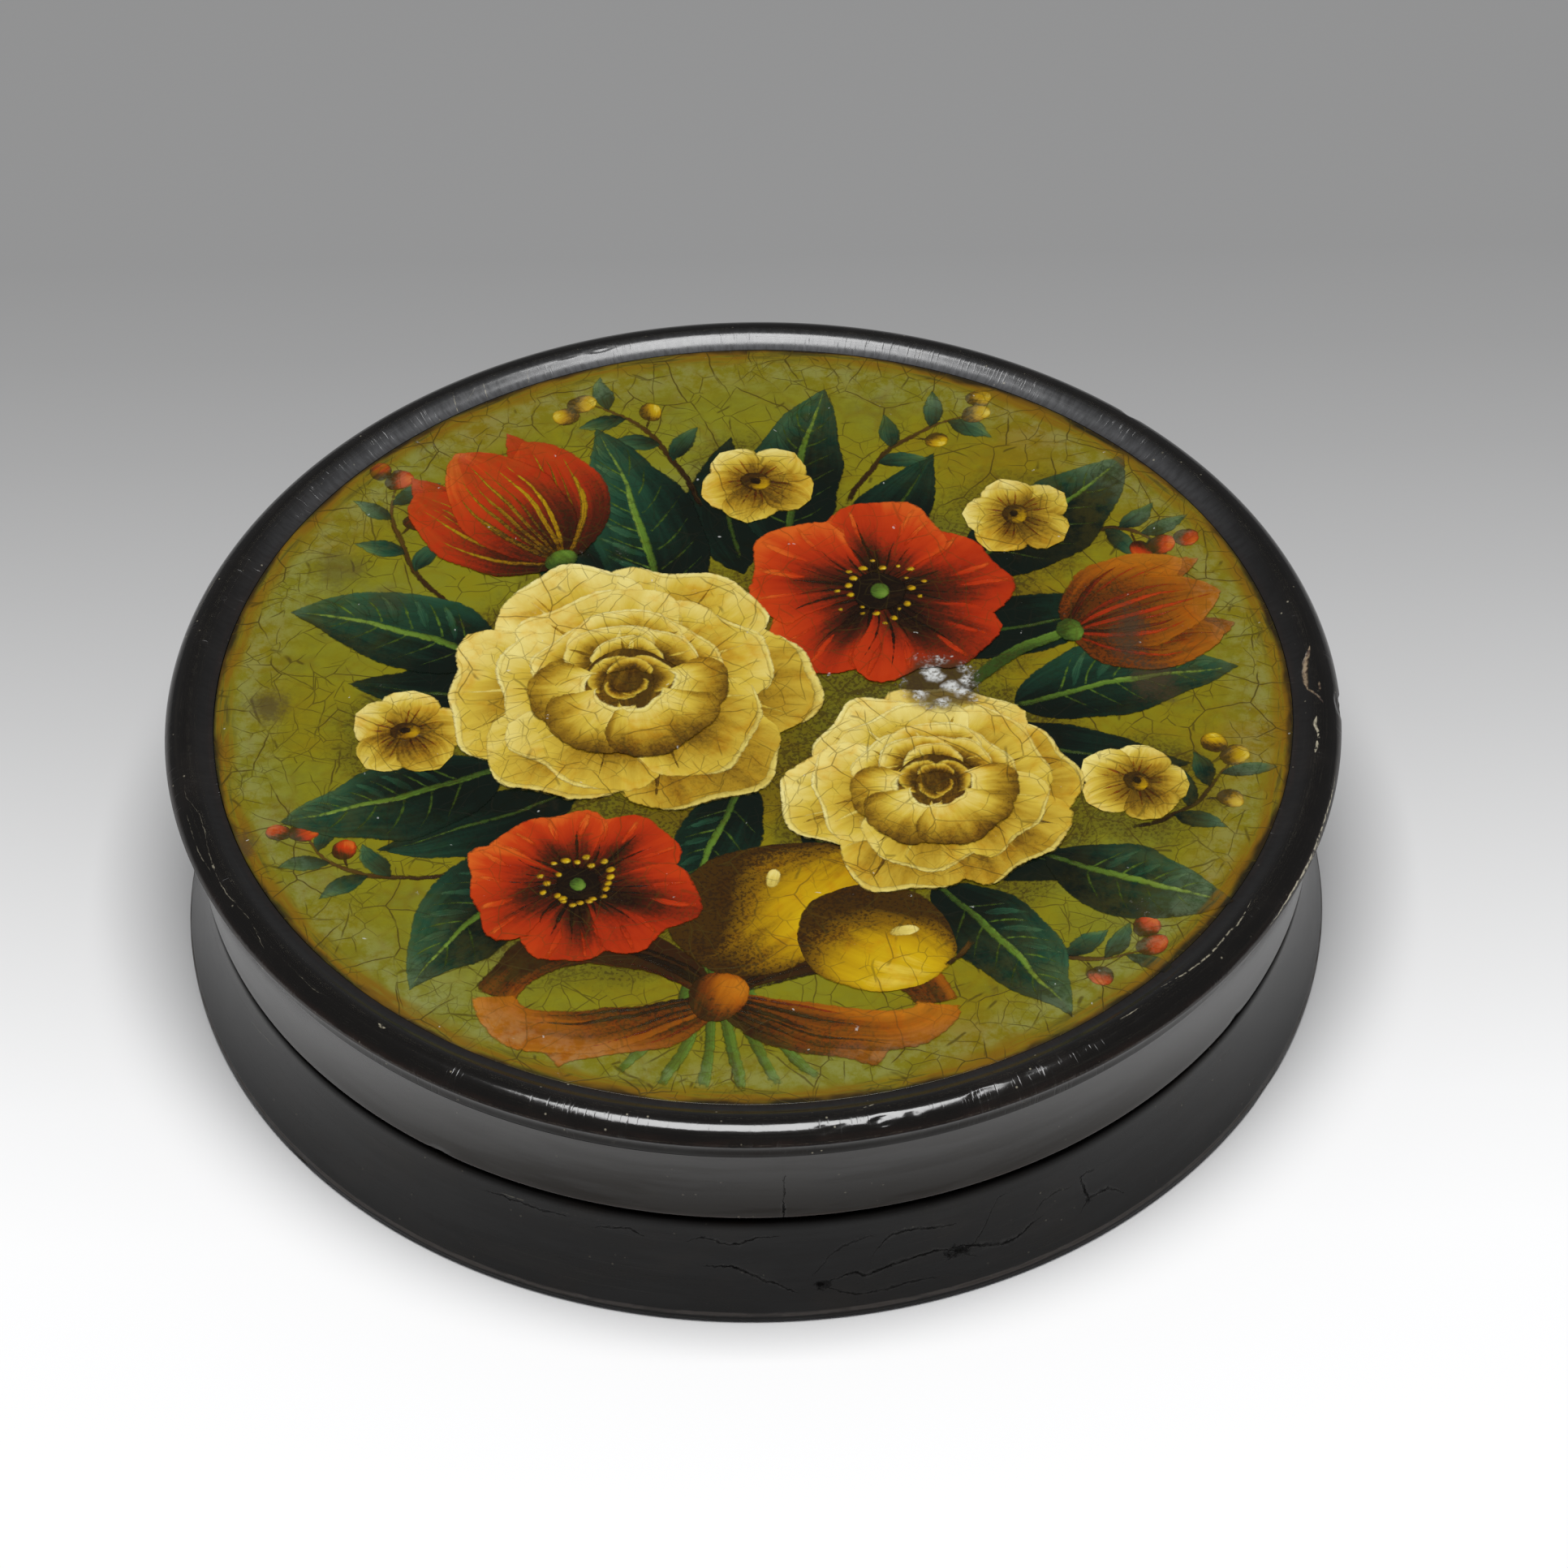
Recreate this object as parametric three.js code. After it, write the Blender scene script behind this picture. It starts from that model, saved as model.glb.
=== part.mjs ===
// A round lacquered papier-mache snuff box with a painted lid that lifts off a neck.
// Millimetres, +Z up. The origin is the centre of the foot, on the plane that the box stands on.
// Every piece is turned about Z: the walls are rings cut from wound paper tube, the top and
// the floor are pasteboard discs let into them, and the painted ground lies in the top's recess.

import * as THREE from 'three';

// Overall size
const rimDiameter = 95;         // across the lid's bead, the widest circle
const boxHeight = 22.45;        // table to the crest of the bead

// Sides
const baseHeight = 10.2;        // table to the base wall's upper edge
const lidTaper = 1.3;           // lid wall drawn in from the joint with the top to its lower edge
const lidProud = 0.2;           // lid wall's lower edge stands out past the base wall by this much
const footFlare = 1.6;          // foot beyond the base wall's upper edge
const wallHollow = 0.3;         // how far the sides curve in between their ends
const edgeRound = 0.35;         // softened corners of both walls
const footRound = 0.6;          // rounding under the foot

// Bead around the picture
const beadWidth = 4.0;          // picture edge to the widest circle
const beadOverhang = 0.9;       // widest circle beyond the lid wall at the joint
const beadRise = 2.05;          // joint to the widest circle
const beadHeight = 1.25;        // widest circle to the crest
const crestInset = 1.9;         // crest inside the widest circle
const crestRise = 0.65;         // crest above the painted surface
const crestRound = 0.8;         // how far the crest is rounded towards the picture
const crestSpread = 0.84;       // how far the crest is rounded towards the widest circle
const beadLean = 0.33;          // how far the bead's outside leans in above the widest circle
const beadShoulder = 0.77;      // how high that leaning outside runs before it rounds over
const slopeHollow = 0.95;       // how far the bead's inner slope runs out flat beside the picture
const beadUndercut = 0.5;       // how far the bead is cut in under its widest circle
const undercutDrop = 0.3;       // how far that cut drops on its way in
const coveRise = 1.3;           // cove between the bead and the lid wall

// Thicknesses
const lidWallThickness = 2.1;   // lid wall at its lower edge
const neckWall = 1.4;           // neck ring
const topThickness = 3.0;       // pasteboard under the picture
const groundThickness = 0.4;    // gesso, paint and varnish together
const floorThickness = 2.4;     // pasteboard of the floor

// Seats
const floorRebate = 1.5;        // floor disc beyond the neck, let into the base wall
const floorLift = 0.5;          // floor above the table
const neckHeadroom = 1.3;       // neck's upper edge below the underside of the top
const neckLeadIn = 0.5;         // bevel that guides the lid on

// Fits
const glueLine = 0.1;           // between glued faces
const slidingFit = 0.2;         // lid bore over the neck, on each side
const seamGap = 0.35;           // open seam between the lid wall and the base wall

// How finely round shapes are drawn
const sides = 72;
const curveSteps = 5;

// Radii worked out from the sizes above
const rimRadius = rimDiameter / 2;
const crestRadius = rimRadius - crestInset;
const pictureRadius = rimRadius - beadWidth;
const recessRadius = pictureRadius + glueLine;
const jointRadius = rimRadius - beadOverhang;
const waistRadius = jointRadius - lidTaper;
const baseTopRadius = waistRadius - lidProud;
const footRadius = baseTopRadius + footFlare;
const lidBore = waistRadius - lidWallThickness;
const spigotRadius = lidBore - glueLine;
const neckRadius = lidBore - slidingFit;
const neckSeat = neckRadius + glueLine;
const neckBore = neckRadius - neckWall;
const floorRadius = neckRadius + floorRebate;
const floorSeat = floorRadius + glueLine;

// Levels worked out from the sizes above
const widestZ = boxHeight - beadHeight;
const jointZ = widestZ - beadRise;
const wallTopZ = jointZ - glueLine;
const lidEdgeZ = baseHeight + seamGap;
const pictureZ = boxHeight - crestRise;
const groundZ = pictureZ - groundThickness;
const recessZ = groundZ - glueLine;
const topUndersideZ = recessZ - topThickness;
const floorTopZ = floorLift + floorThickness;
const neckFootZ = floorTopZ + glueLine;
const neckTopZ = topUndersideZ - neckHeadroom;

// Finishes read from the photograph
const blackLacquer = { color: 0x16130f, roughness: 0.28, metalness: 0 };
const innerLacquer = { color: 0x241610, roughness: 0.5, metalness: 0 };
const oliveGround = { color: 0x7d7628, roughness: 0.32, metalness: 0 };

// A closed profile of (radius, height) turned about Z into a named mesh.
function turned(name, profile, finish) {
  const outline = profile.getPoints(curveSteps);
  const geometry = new THREE.LatheGeometry(outline, sides);
  geometry.rotateX(Math.PI / 2);
  const mesh = new THREE.Mesh(geometry, new THREE.MeshStandardMaterial(finish));
  mesh.name = name;
  return mesh;
}

// Bends a wall's outer face inwards by the hollow, from where the profile is to (radius, height).
function hollowSide(profile, radius, height) {
  const start = profile.currentPoint.clone();
  const middleRadius = (start.x + radius) / 2 - 2 * wallHollow;
  profile.quadraticCurveTo(middleRadius, (start.y + height) / 2, radius, height);
}

// Disc with the turned bead: a recess on top for the picture, a spigot below that fits the lid wall.
function makeLidTop() {
  const profile = new THREE.Path();
  profile.moveTo(0, topUndersideZ);
  profile.lineTo(spigotRadius, topUndersideZ);
  profile.lineTo(spigotRadius, jointZ);
  profile.lineTo(jointRadius, jointZ);
  profile.bezierCurveTo(
    jointRadius, jointZ + coveRise,
    rimRadius - beadUndercut, widestZ - undercutDrop,
    rimRadius, widestZ,
  );
  profile.bezierCurveTo(
    rimRadius - beadLean, widestZ + beadShoulder,
    crestRadius + crestSpread, boxHeight,
    crestRadius, boxHeight,
  );
  profile.bezierCurveTo(
    crestRadius - crestRound, boxHeight,
    recessRadius + slopeHollow, pictureZ,
    recessRadius, pictureZ,
  );
  profile.lineTo(recessRadius, recessZ);
  profile.lineTo(0, recessZ);
  return turned('lid_top', profile, blackLacquer);
}

// Painted ground: a thin disc that fills the recess, with its face at the foot of the bead.
function makePaintedGround() {
  const profile = new THREE.Path();
  profile.moveTo(0, groundZ);
  profile.lineTo(pictureRadius, groundZ);
  profile.lineTo(pictureRadius, pictureZ);
  profile.lineTo(0, pictureZ);
  return turned('painted_ground', profile, oliveGround);
}

// Lid wall: a ring with a plain bore that slides over the neck.
function makeLidWall() {
  const profile = new THREE.Path();
  profile.moveTo(lidBore, lidEdgeZ);
  profile.lineTo(waistRadius - edgeRound, lidEdgeZ);
  profile.quadraticCurveTo(waistRadius, lidEdgeZ, waistRadius, lidEdgeZ + edgeRound);
  hollowSide(profile, jointRadius, wallTopZ);
  profile.lineTo(lidBore, wallTopZ);
  profile.lineTo(lidBore, lidEdgeZ);
  return turned('lid_wall', profile, blackLacquer);
}

// Base wall: a ring with a rebate below for the floor and a bore above for the neck.
function makeBaseWall() {
  const profile = new THREE.Path();
  profile.moveTo(floorSeat, 0);
  profile.lineTo(footRadius - footRound, 0);
  profile.quadraticCurveTo(footRadius, 0, footRadius, footRound);
  hollowSide(profile, baseTopRadius, baseHeight - edgeRound);
  profile.quadraticCurveTo(baseTopRadius, baseHeight, baseTopRadius - edgeRound, baseHeight);
  profile.lineTo(neckSeat, baseHeight);
  profile.lineTo(neckSeat, neckFootZ);
  profile.lineTo(floorSeat, neckFootZ);
  profile.lineTo(floorSeat, 0);
  return turned('base_wall', profile, blackLacquer);
}

// Floor: a disc pushed up into the base wall's rebate.
function makeBaseFloor() {
  const profile = new THREE.Path();
  profile.moveTo(0, floorLift);
  profile.lineTo(floorRadius, floorLift);
  profile.lineTo(floorRadius, floorTopZ);
  profile.lineTo(0, floorTopZ);
  return turned('base_floor', profile, blackLacquer);
}

// Neck: a thin ring that stands on the floor inside the base wall and carries the lid.
function makeNeckRing() {
  const profile = new THREE.Path();
  profile.moveTo(neckBore, neckFootZ);
  profile.lineTo(neckRadius, neckFootZ);
  profile.lineTo(neckRadius, neckTopZ - neckLeadIn);
  profile.quadraticCurveTo(neckRadius, neckTopZ, neckRadius - neckLeadIn, neckTopZ);
  profile.lineTo(neckBore, neckTopZ);
  profile.lineTo(neckBore, neckFootZ);
  return turned('neck_ring', profile, innerLacquer);
}

const lid = new THREE.Group();
lid.add(makeLidTop(), makePaintedGround(), makeLidWall());

const base = new THREE.Group();
base.add(makeBaseWall(), makeBaseFloor(), makeNeckRing());

const snuffBox = new THREE.Group();
snuffBox.add(base, lid);

export default snuffBox;
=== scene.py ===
"""Looks of a round lacquered snuff box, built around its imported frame.

The lid, the base and the posy painted on the lid are classes, and so are the lacquers and the paints.
Classes work in millimetres; a mesh becomes metres when it is finished.
"""

import logging
import math
import random
from collections.abc import Callable, Sequence
from dataclasses import dataclass, field, replace
from enum import Enum

import bmesh
import bpy
from mathutils import Matrix, Vector, noise


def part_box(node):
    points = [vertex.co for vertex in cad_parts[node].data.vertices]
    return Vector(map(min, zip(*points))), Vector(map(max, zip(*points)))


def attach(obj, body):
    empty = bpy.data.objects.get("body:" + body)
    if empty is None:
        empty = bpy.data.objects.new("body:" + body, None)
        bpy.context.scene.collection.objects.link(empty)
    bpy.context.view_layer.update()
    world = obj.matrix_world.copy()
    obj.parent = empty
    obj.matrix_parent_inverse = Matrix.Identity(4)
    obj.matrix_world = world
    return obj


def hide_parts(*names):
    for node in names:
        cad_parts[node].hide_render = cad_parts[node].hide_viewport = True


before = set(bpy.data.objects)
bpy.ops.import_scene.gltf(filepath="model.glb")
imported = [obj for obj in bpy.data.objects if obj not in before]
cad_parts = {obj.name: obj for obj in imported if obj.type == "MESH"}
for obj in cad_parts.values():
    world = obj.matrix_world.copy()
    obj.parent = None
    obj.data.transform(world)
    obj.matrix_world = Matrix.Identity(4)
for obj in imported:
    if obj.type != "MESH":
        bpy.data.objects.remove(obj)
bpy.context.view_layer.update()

log = logging.getLogger("snuff_box")

MM = 0.001
FULL_TURN = 2.0 * math.pi
MERGE_GAP = 0.002
SHARP_ANGLE = 34.0
CLOSING = 0.2
BODY_LID = "lid"
BODY_BASE = "base"
NOISE_KIND = {"noise_dimensions": "3D"}

Colour = tuple[float, float, float]
Spot = tuple[float, float]
Scales = tuple[float, float, float]
Stops = Sequence[tuple[float, Colour]]


def node_corners(node: str) -> tuple[Vector, Vector]:
    """Gives a CAD node's lowest and highest corners in millimetres."""
    low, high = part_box(node)
    return low / MM, high / MM


def blend(low: float, high: float, share: float) -> float:
    """Goes from low to high with a soft start and end as share goes from 0 to 1."""
    share = min(max(share, 0.0), 1.0)
    return low + (high - low) * share * share * (3.0 - 2.0 * share)


def on_bezier(controls: Sequence[Vector], share: float) -> Vector:
    """Gives a point on a Bezier curve of any degree.

    Args:
        controls: the curve's control points.
        share: how far along the curve, from 0 to 1.

    Returns:
        The point.
    """
    points = list(controls)
    while len(points) > 1:
        points = [a.lerp(b, share) for a, b in zip(points, points[1:])]
    return points[0]


def onward(start: Spot, way: float, distance: float) -> Spot:
    """Gives the place a distance away from a start, on a way in radians."""
    return start[0] + distance * math.cos(way), start[1] + distance * math.sin(way)


def operator(operation: str, swapped: bool = False) -> Callable[..., "Wire"]:
    """Makes one of the operators of Wire.

    Args:
        operation: what its Math node does.
        swapped: true where the other value comes first.

    Returns:
        The operator.
    """

    def join(wire: "Wire", other: "Wire | float" = 0.0) -> "Wire":
        """Adds the Math node."""
        first, second = (other, wire) if swapped else (wire, other)
        return wire.graph.node("ShaderNodeMath", {"operation": operation}, {0: first, 1: second})

    return join


@dataclass
class Wire:
    """A shader value that Python's arithmetic can be written with."""

    graph: "Graph"
    socket: bpy.types.NodeSocket | None

    __add__, __radd__ = operator("ADD"), operator("ADD", True)
    __sub__, __rsub__ = operator("SUBTRACT"), operator("SUBTRACT", True)
    __mul__, __rmul__ = operator("MULTIPLY"), operator("MULTIPLY", True)
    __truediv__, __rtruediv__ = operator("DIVIDE"), operator("DIVIDE", True)
    __pow__, __abs__ = operator("POWER"), operator("ABSOLUTE")
    most, least, angle_from = operator("MAXIMUM"), operator("MINIMUM"), operator("ARCTAN2")

    def rise(self, low: float, high: float, top: float = 1.0) -> "Wire":
        """Goes softly from 0 at low to top at high; high may be the smaller one.

        Args:
            low: value that gives 0.
            high: value that gives top.
            top: the most that comes out.

        Returns:
            The eased value.
        """
        start, end, first, last = low, high, 0.0, top
        if high < low:
            start, end, first, last = high, low, top, 0.0
        spread = {"Value": self, "From Min": start, "From Max": end, "To Min": first, "To Max": last}
        return self.graph.node("ShaderNodeMapRange", {"interpolation_type": "SMOOTHSTEP"}, spread)


@dataclass(frozen=True)
class Place:
    """Where a shaded point is on the box, in millimetres; the arc is 0 at the front."""

    spot: Wire
    x: Wire
    y: Wire
    z: Wire
    radius: Wire
    arc: Wire


class Graph:
    """A node tree, with one method that makes every node."""

    ARC_RADIUS = 46.0
    CELL_JUMP = 90.0
    MIX_SHARE, MIX_UNDER, MIX_OVER, MIX_RESULT = 0, 6, 7, 2

    def __init__(self, owner: bpy.types.Material | bpy.types.World) -> None:
        """Empties the owner's node tree.

        Args:
            owner: the material or world.
        """
        owner.use_nodes = True
        self.tree = owner.node_tree
        self.tree.nodes.clear()

    def node(
        self, kind: str, settings: dict | None = None, inputs: dict | None = None, output: int | str = 0
    ) -> Wire:
        """Makes a node, sets it up and joins it to others.

        Args:
            kind: the node's type.
            settings: its properties.
            inputs: a value or a wire for each input socket.
            output: the output socket that is wanted.

        Returns:
            The wire from that output.
        """
        made = self.tree.nodes.new(kind)
        for key, value in (settings or {}).items():
            setattr(made, key, value)
        for key, value in (inputs or {}).items():
            socket = made.inputs[key]
            if isinstance(value, Wire):
                self.tree.links.new(value.socket, socket)
            else:
                socket.default_value = (*value, 1.0) if socket.type == "RGBA" else value
        return Wire(self, made.outputs[output] if made.outputs else None)

    def place(self) -> Place:
        """Reads where the point is, from Object coordinates.

        Returns:
            The place.
        """
        here = self.node("ShaderNodeTexCoord", output="Object")
        spot = self.node("ShaderNodeVectorMath", {"operation": "SCALE"}, {0: here, "Scale": 1.0 / MM})
        x, y, z = (self.node("ShaderNodeSeparateXYZ", inputs={0: spot}, output=axis) for axis in "XYZ")
        radius = (x * x + y * y) ** 0.5
        return Place(spot, x, y, z, radius, x.angle_from(y * -1.0) * self.ARC_RADIUS)

    def vector(self, x: Wire | float, y: Wire | float, z: Wire | float = 0.0) -> Wire:
        """Joins three values into a vector."""
        return self.node("ShaderNodeCombineXYZ", inputs={0: x, 1: y, 2: z})

    def noise(self, spot: Wire, scale: float, detail: float = 2.0, rough: float = 0.5) -> Wire:
        """Cloudy noise from 0 to 1, with so many lumps in a unit; detail is its octaves."""
        inputs = {"Vector": spot, "Scale": scale, "Detail": detail, "Roughness": rough}
        return self.node("ShaderNodeTexNoise", NOISE_KIND, inputs)

    def streaks(self, spot: Wire, by: Scales, detail: float, rough: float = 0.5) -> Wire:
        """Noise that is drawn out, with so many lumps in a unit along each axis."""
        return self.noise(self.stretch(spot, by), 1.0, detail, rough)

    def cells(
        self, spot: Wire, size: float, feature: str = "DISTANCE_TO_EDGE", ways: str = "2D",
        output: str = "Distance",
    ) -> Wire:
        """Reads a pattern of cells.

        Args:
            spot: where it is read.
            size: usual width of a cell.
            feature: what a distance is measured to, the nearest wall or seed.
            ways: "2D" for upright cells, "3D" for round ones.
            output: "Distance", in the units of spot, or "Color", which each cell has its own of.

        Returns:
            The distance or the colour.
        """
        settings = {"voronoi_dimensions": ways, "feature": feature}
        inputs = {"Vector": spot, "Scale": 1.0 / size, "Randomness": 1.0}
        found = self.node("ShaderNodeTexVoronoi", settings, inputs, output)
        return found * size if output == "Distance" else found

    def push(self, spot: Wire, by: Wire, reach: float) -> Wire:
        """Moves a place by a colour's three values, a reach at most."""
        inputs = {0: by, 1: (reach,) * 3, 2: spot}
        return self.node("ShaderNodeVectorMath", {"operation": "MULTIPLY_ADD"}, inputs)

    def scatter(self, spot: Wire, size: float) -> Wire:
        """Moves each cell to a place of its own, so that what is read there breaks off at the cell walls."""
        return self.push(spot, self.cells(spot, size, "F1", output="Color"), self.CELL_JUMP)

    def warp(self, spot: Wire, scale: float, reach: float) -> Wire:
        """Bends a place by noise, with so many bends in a unit, so that what is read there wanders."""
        inputs = {"Vector": spot, "Scale": scale, "Detail": 2.0}
        return self.push(spot, self.node("ShaderNodeTexNoise", NOISE_KIND, inputs, "Color"), reach)

    def stretch(self, spot: Wire, by: Scales) -> Wire:
        """Scales a place differently along each axis."""
        return self.node("ShaderNodeVectorMath", {"operation": "MULTIPLY"}, {0: spot, 1: by})

    def turned(self, spot: Wire, heading: float) -> Wire:
        """Turns a place about the box's axis, by degrees."""
        inputs = {"Vector": spot, "Angle": math.radians(heading)}
        return self.node("ShaderNodeVectorRotate", {"rotation_type": "Z_AXIS"}, inputs)

    def mix(self, under: Wire | Colour, over: Wire | Colour, share: Wire | float, how: str = "MIX") -> Wire:
        """Lays one colour over another.

        Args:
            under: the colour below.
            over: the colour above.
            share: how much of the upper one shows.
            how: blend type.

        Returns:
            The mixed colour.
        """
        settings = {"data_type": "RGBA", "blend_type": how, "clamp_factor": True}
        inputs = {self.MIX_SHARE: share, self.MIX_UNDER: under, self.MIX_OVER: over}
        return self.node("ShaderNodeMix", settings, inputs, self.MIX_RESULT)

    def ramp(self, value: Wire, stops: Stops, passing: str = "LINEAR") -> Wire:
        """Turns a value into a colour.

        Args:
            value: from 0 to 1.
            stops: position and colour of each stop, in order.
            passing: how the colours pass into each other.

        Returns:
            The colour.
        """
        colour = self.node("ShaderNodeValToRGB", inputs={0: value}, output="Color")
        ramp = colour.socket.node.color_ramp
        ramp.interpolation = passing
        while len(ramp.elements) < len(stops):
            ramp.elements.new(1.0)
        for element, (position, shade) in zip(ramp.elements, stops):
            element.position = position
            element.color = (*shade, 1.0)
        return colour

    def attribute(self, name: str) -> Wire:
        """Reads one of the mesh's own values."""
        return self.node("ShaderNodeAttribute", {"attribute_name": name}, output="Fac")


class Coat(Graph):
    """The graph of a finish, whose colour is built up in layers."""

    def __init__(self, name: str, colour: Colour = (0.0, 0.0, 0.0)) -> None:
        """Starts a material with its first colour.

        Args:
            name: the material's name.
            colour: the undermost colour.
        """
        self.material = bpy.data.materials.new(name)
        super().__init__(self.material)
        self.at = self.place()
        self.colour: Wire | Colour = colour

    def over(self, colour: Wire | Colour, share: Wire | float, how: str = "MIX") -> None:
        """Lays one more colour over those below."""
        self.colour = self.mix(self.colour, colour, share, how)

    def finish(self, rough: Wire, height: Wire, depth: float, others: dict) -> bpy.types.Material:
        """Ends the tree in one shader.

        Args:
            rough: roughness.
            height: relief, where 1 is one depth.
            depth: height of the relief in millimetres.
            others: the shader's other sockets.

        Returns:
            The material.
        """
        bump = {"Strength": 1.0, "Distance": depth * MM, "Height": height}
        normal = self.node("ShaderNodeBump", inputs=bump)
        inputs = {"Base Color": self.colour, "Roughness": rough, "Normal": normal, **others}
        shader = self.node("ShaderNodeBsdfPrincipled", inputs=inputs)
        self.node("ShaderNodeOutputMaterial", inputs={"Surface": shader})
        return self.material


class Course(Enum):
    """Which way a mark runs, and what its level is."""

    ROUND_WALL = "height at each turn"
    ROUND_RIM = "radius at each turn"
    UP_WALL = "turn at each height"
    ACROSS_RIM = "turn at each radius"


@dataclass(frozen=True)
class Mark:
    """A crack or scratch: a smooth line through points of turn, in degrees, and level."""

    TAPER = 5.0
    THINNEST = 0.001
    SLACK = 0.01

    points: tuple[Spot, ...]
    half_width: float
    amount: float = 1.0
    course: Course = Course.ROUND_WALL

    def draw(self, coat: Coat, stray: Wire) -> Wire:
        """Draws the line, which tapers to its ends.

        Args:
            coat: the finish that it is drawn in.
            stray: how far the line strays sideways.

        Returns:
            How far beside the line the point is, in half widths.
        """
        at = coat.at
        level = at.radius if self.course in (Course.ROUND_RIM, Course.ACROSS_RIM) else at.z
        along, across = at.arc, level
        spots = [(math.radians(turn) * Graph.ARC_RADIUS, height) for turn, height in self.points]
        if self.course in (Course.UP_WALL, Course.ACROSS_RIM):
            along, across = level, at.arc
            spots = [(height, arc) for arc, height in spots]
        spots.sort()
        start, length = spots[0][0], spots[-1][0] - spots[0][0]
        low = min(side for ahead, side in spots)
        spread = max(side for ahead, side in spots) - low + self.SLACK
        share = (along - start) / length
        stops = [((ahead - start) / length, ((side - low) / spread,) * 3) for ahead, side in spots]
        middle = coat.ramp(share, stops, "CARDINAL") * spread
        taper = share * (1.0 - share) * (self.TAPER * self.half_width)
        taper = taper.least(self.half_width).most(self.THINNEST)
        return abs(across - low - middle + stray) / taper


@dataclass(frozen=True)
class RimMark(Mark):
    """A mark that runs round the rim."""

    course: Course = Course.ROUND_RIM


@dataclass(frozen=True)
class Pit:
    """A small ragged hole where lacquer has dropped out of a wall."""

    turn: float
    height: float
    half_width: float
    half_height: float

    def draw(self, at: Place, ragged: Wire) -> Wire:
        """Draws the hole.

        Args:
            at: where the point is.
            ragged: how far the hole's edge strays.

        Returns:
            1 in the hole, 0 beside it.
        """
        side = (at.arc - math.radians(self.turn) * Graph.ARC_RADIUS) / self.half_width
        up = (at.z - self.height) / self.half_height
        return (1.0 - (side * side + up * up) ** 0.5 + ragged).rise(0.0, 0.9, 0.8)


@dataclass(frozen=True)
class WornEdge:
    """A circle of the box that hands and cloths have rubbed."""

    radius: float
    height: float
    reach: float
    amount: float

    def nearness(self, at: Place) -> Wire:
        """Gives the edge's amount on it and 0 beyond its reach."""
        across = ((at.radius - self.radius) ** 2.0 + (at.z - self.height) ** 2.0) ** 0.5
        return across.rise(self.reach, 0.0, self.amount)


@dataclass(frozen=True)
class Wear:
    """What use and age have done to one piece, with the painted sheen and shade that some pieces carry."""

    edges: tuple[WornEdge, ...] = ()
    cracks: tuple[Mark, ...] = ()
    scratches: tuple[Mark, ...] = ()
    chips: tuple[Mark, ...] = ()
    pits: tuple[Pit, ...] = ()
    haze_and_sheen: WornEdge | None = None
    dulled_and_shaded: tuple[WornEdge, ...] = ()


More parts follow.
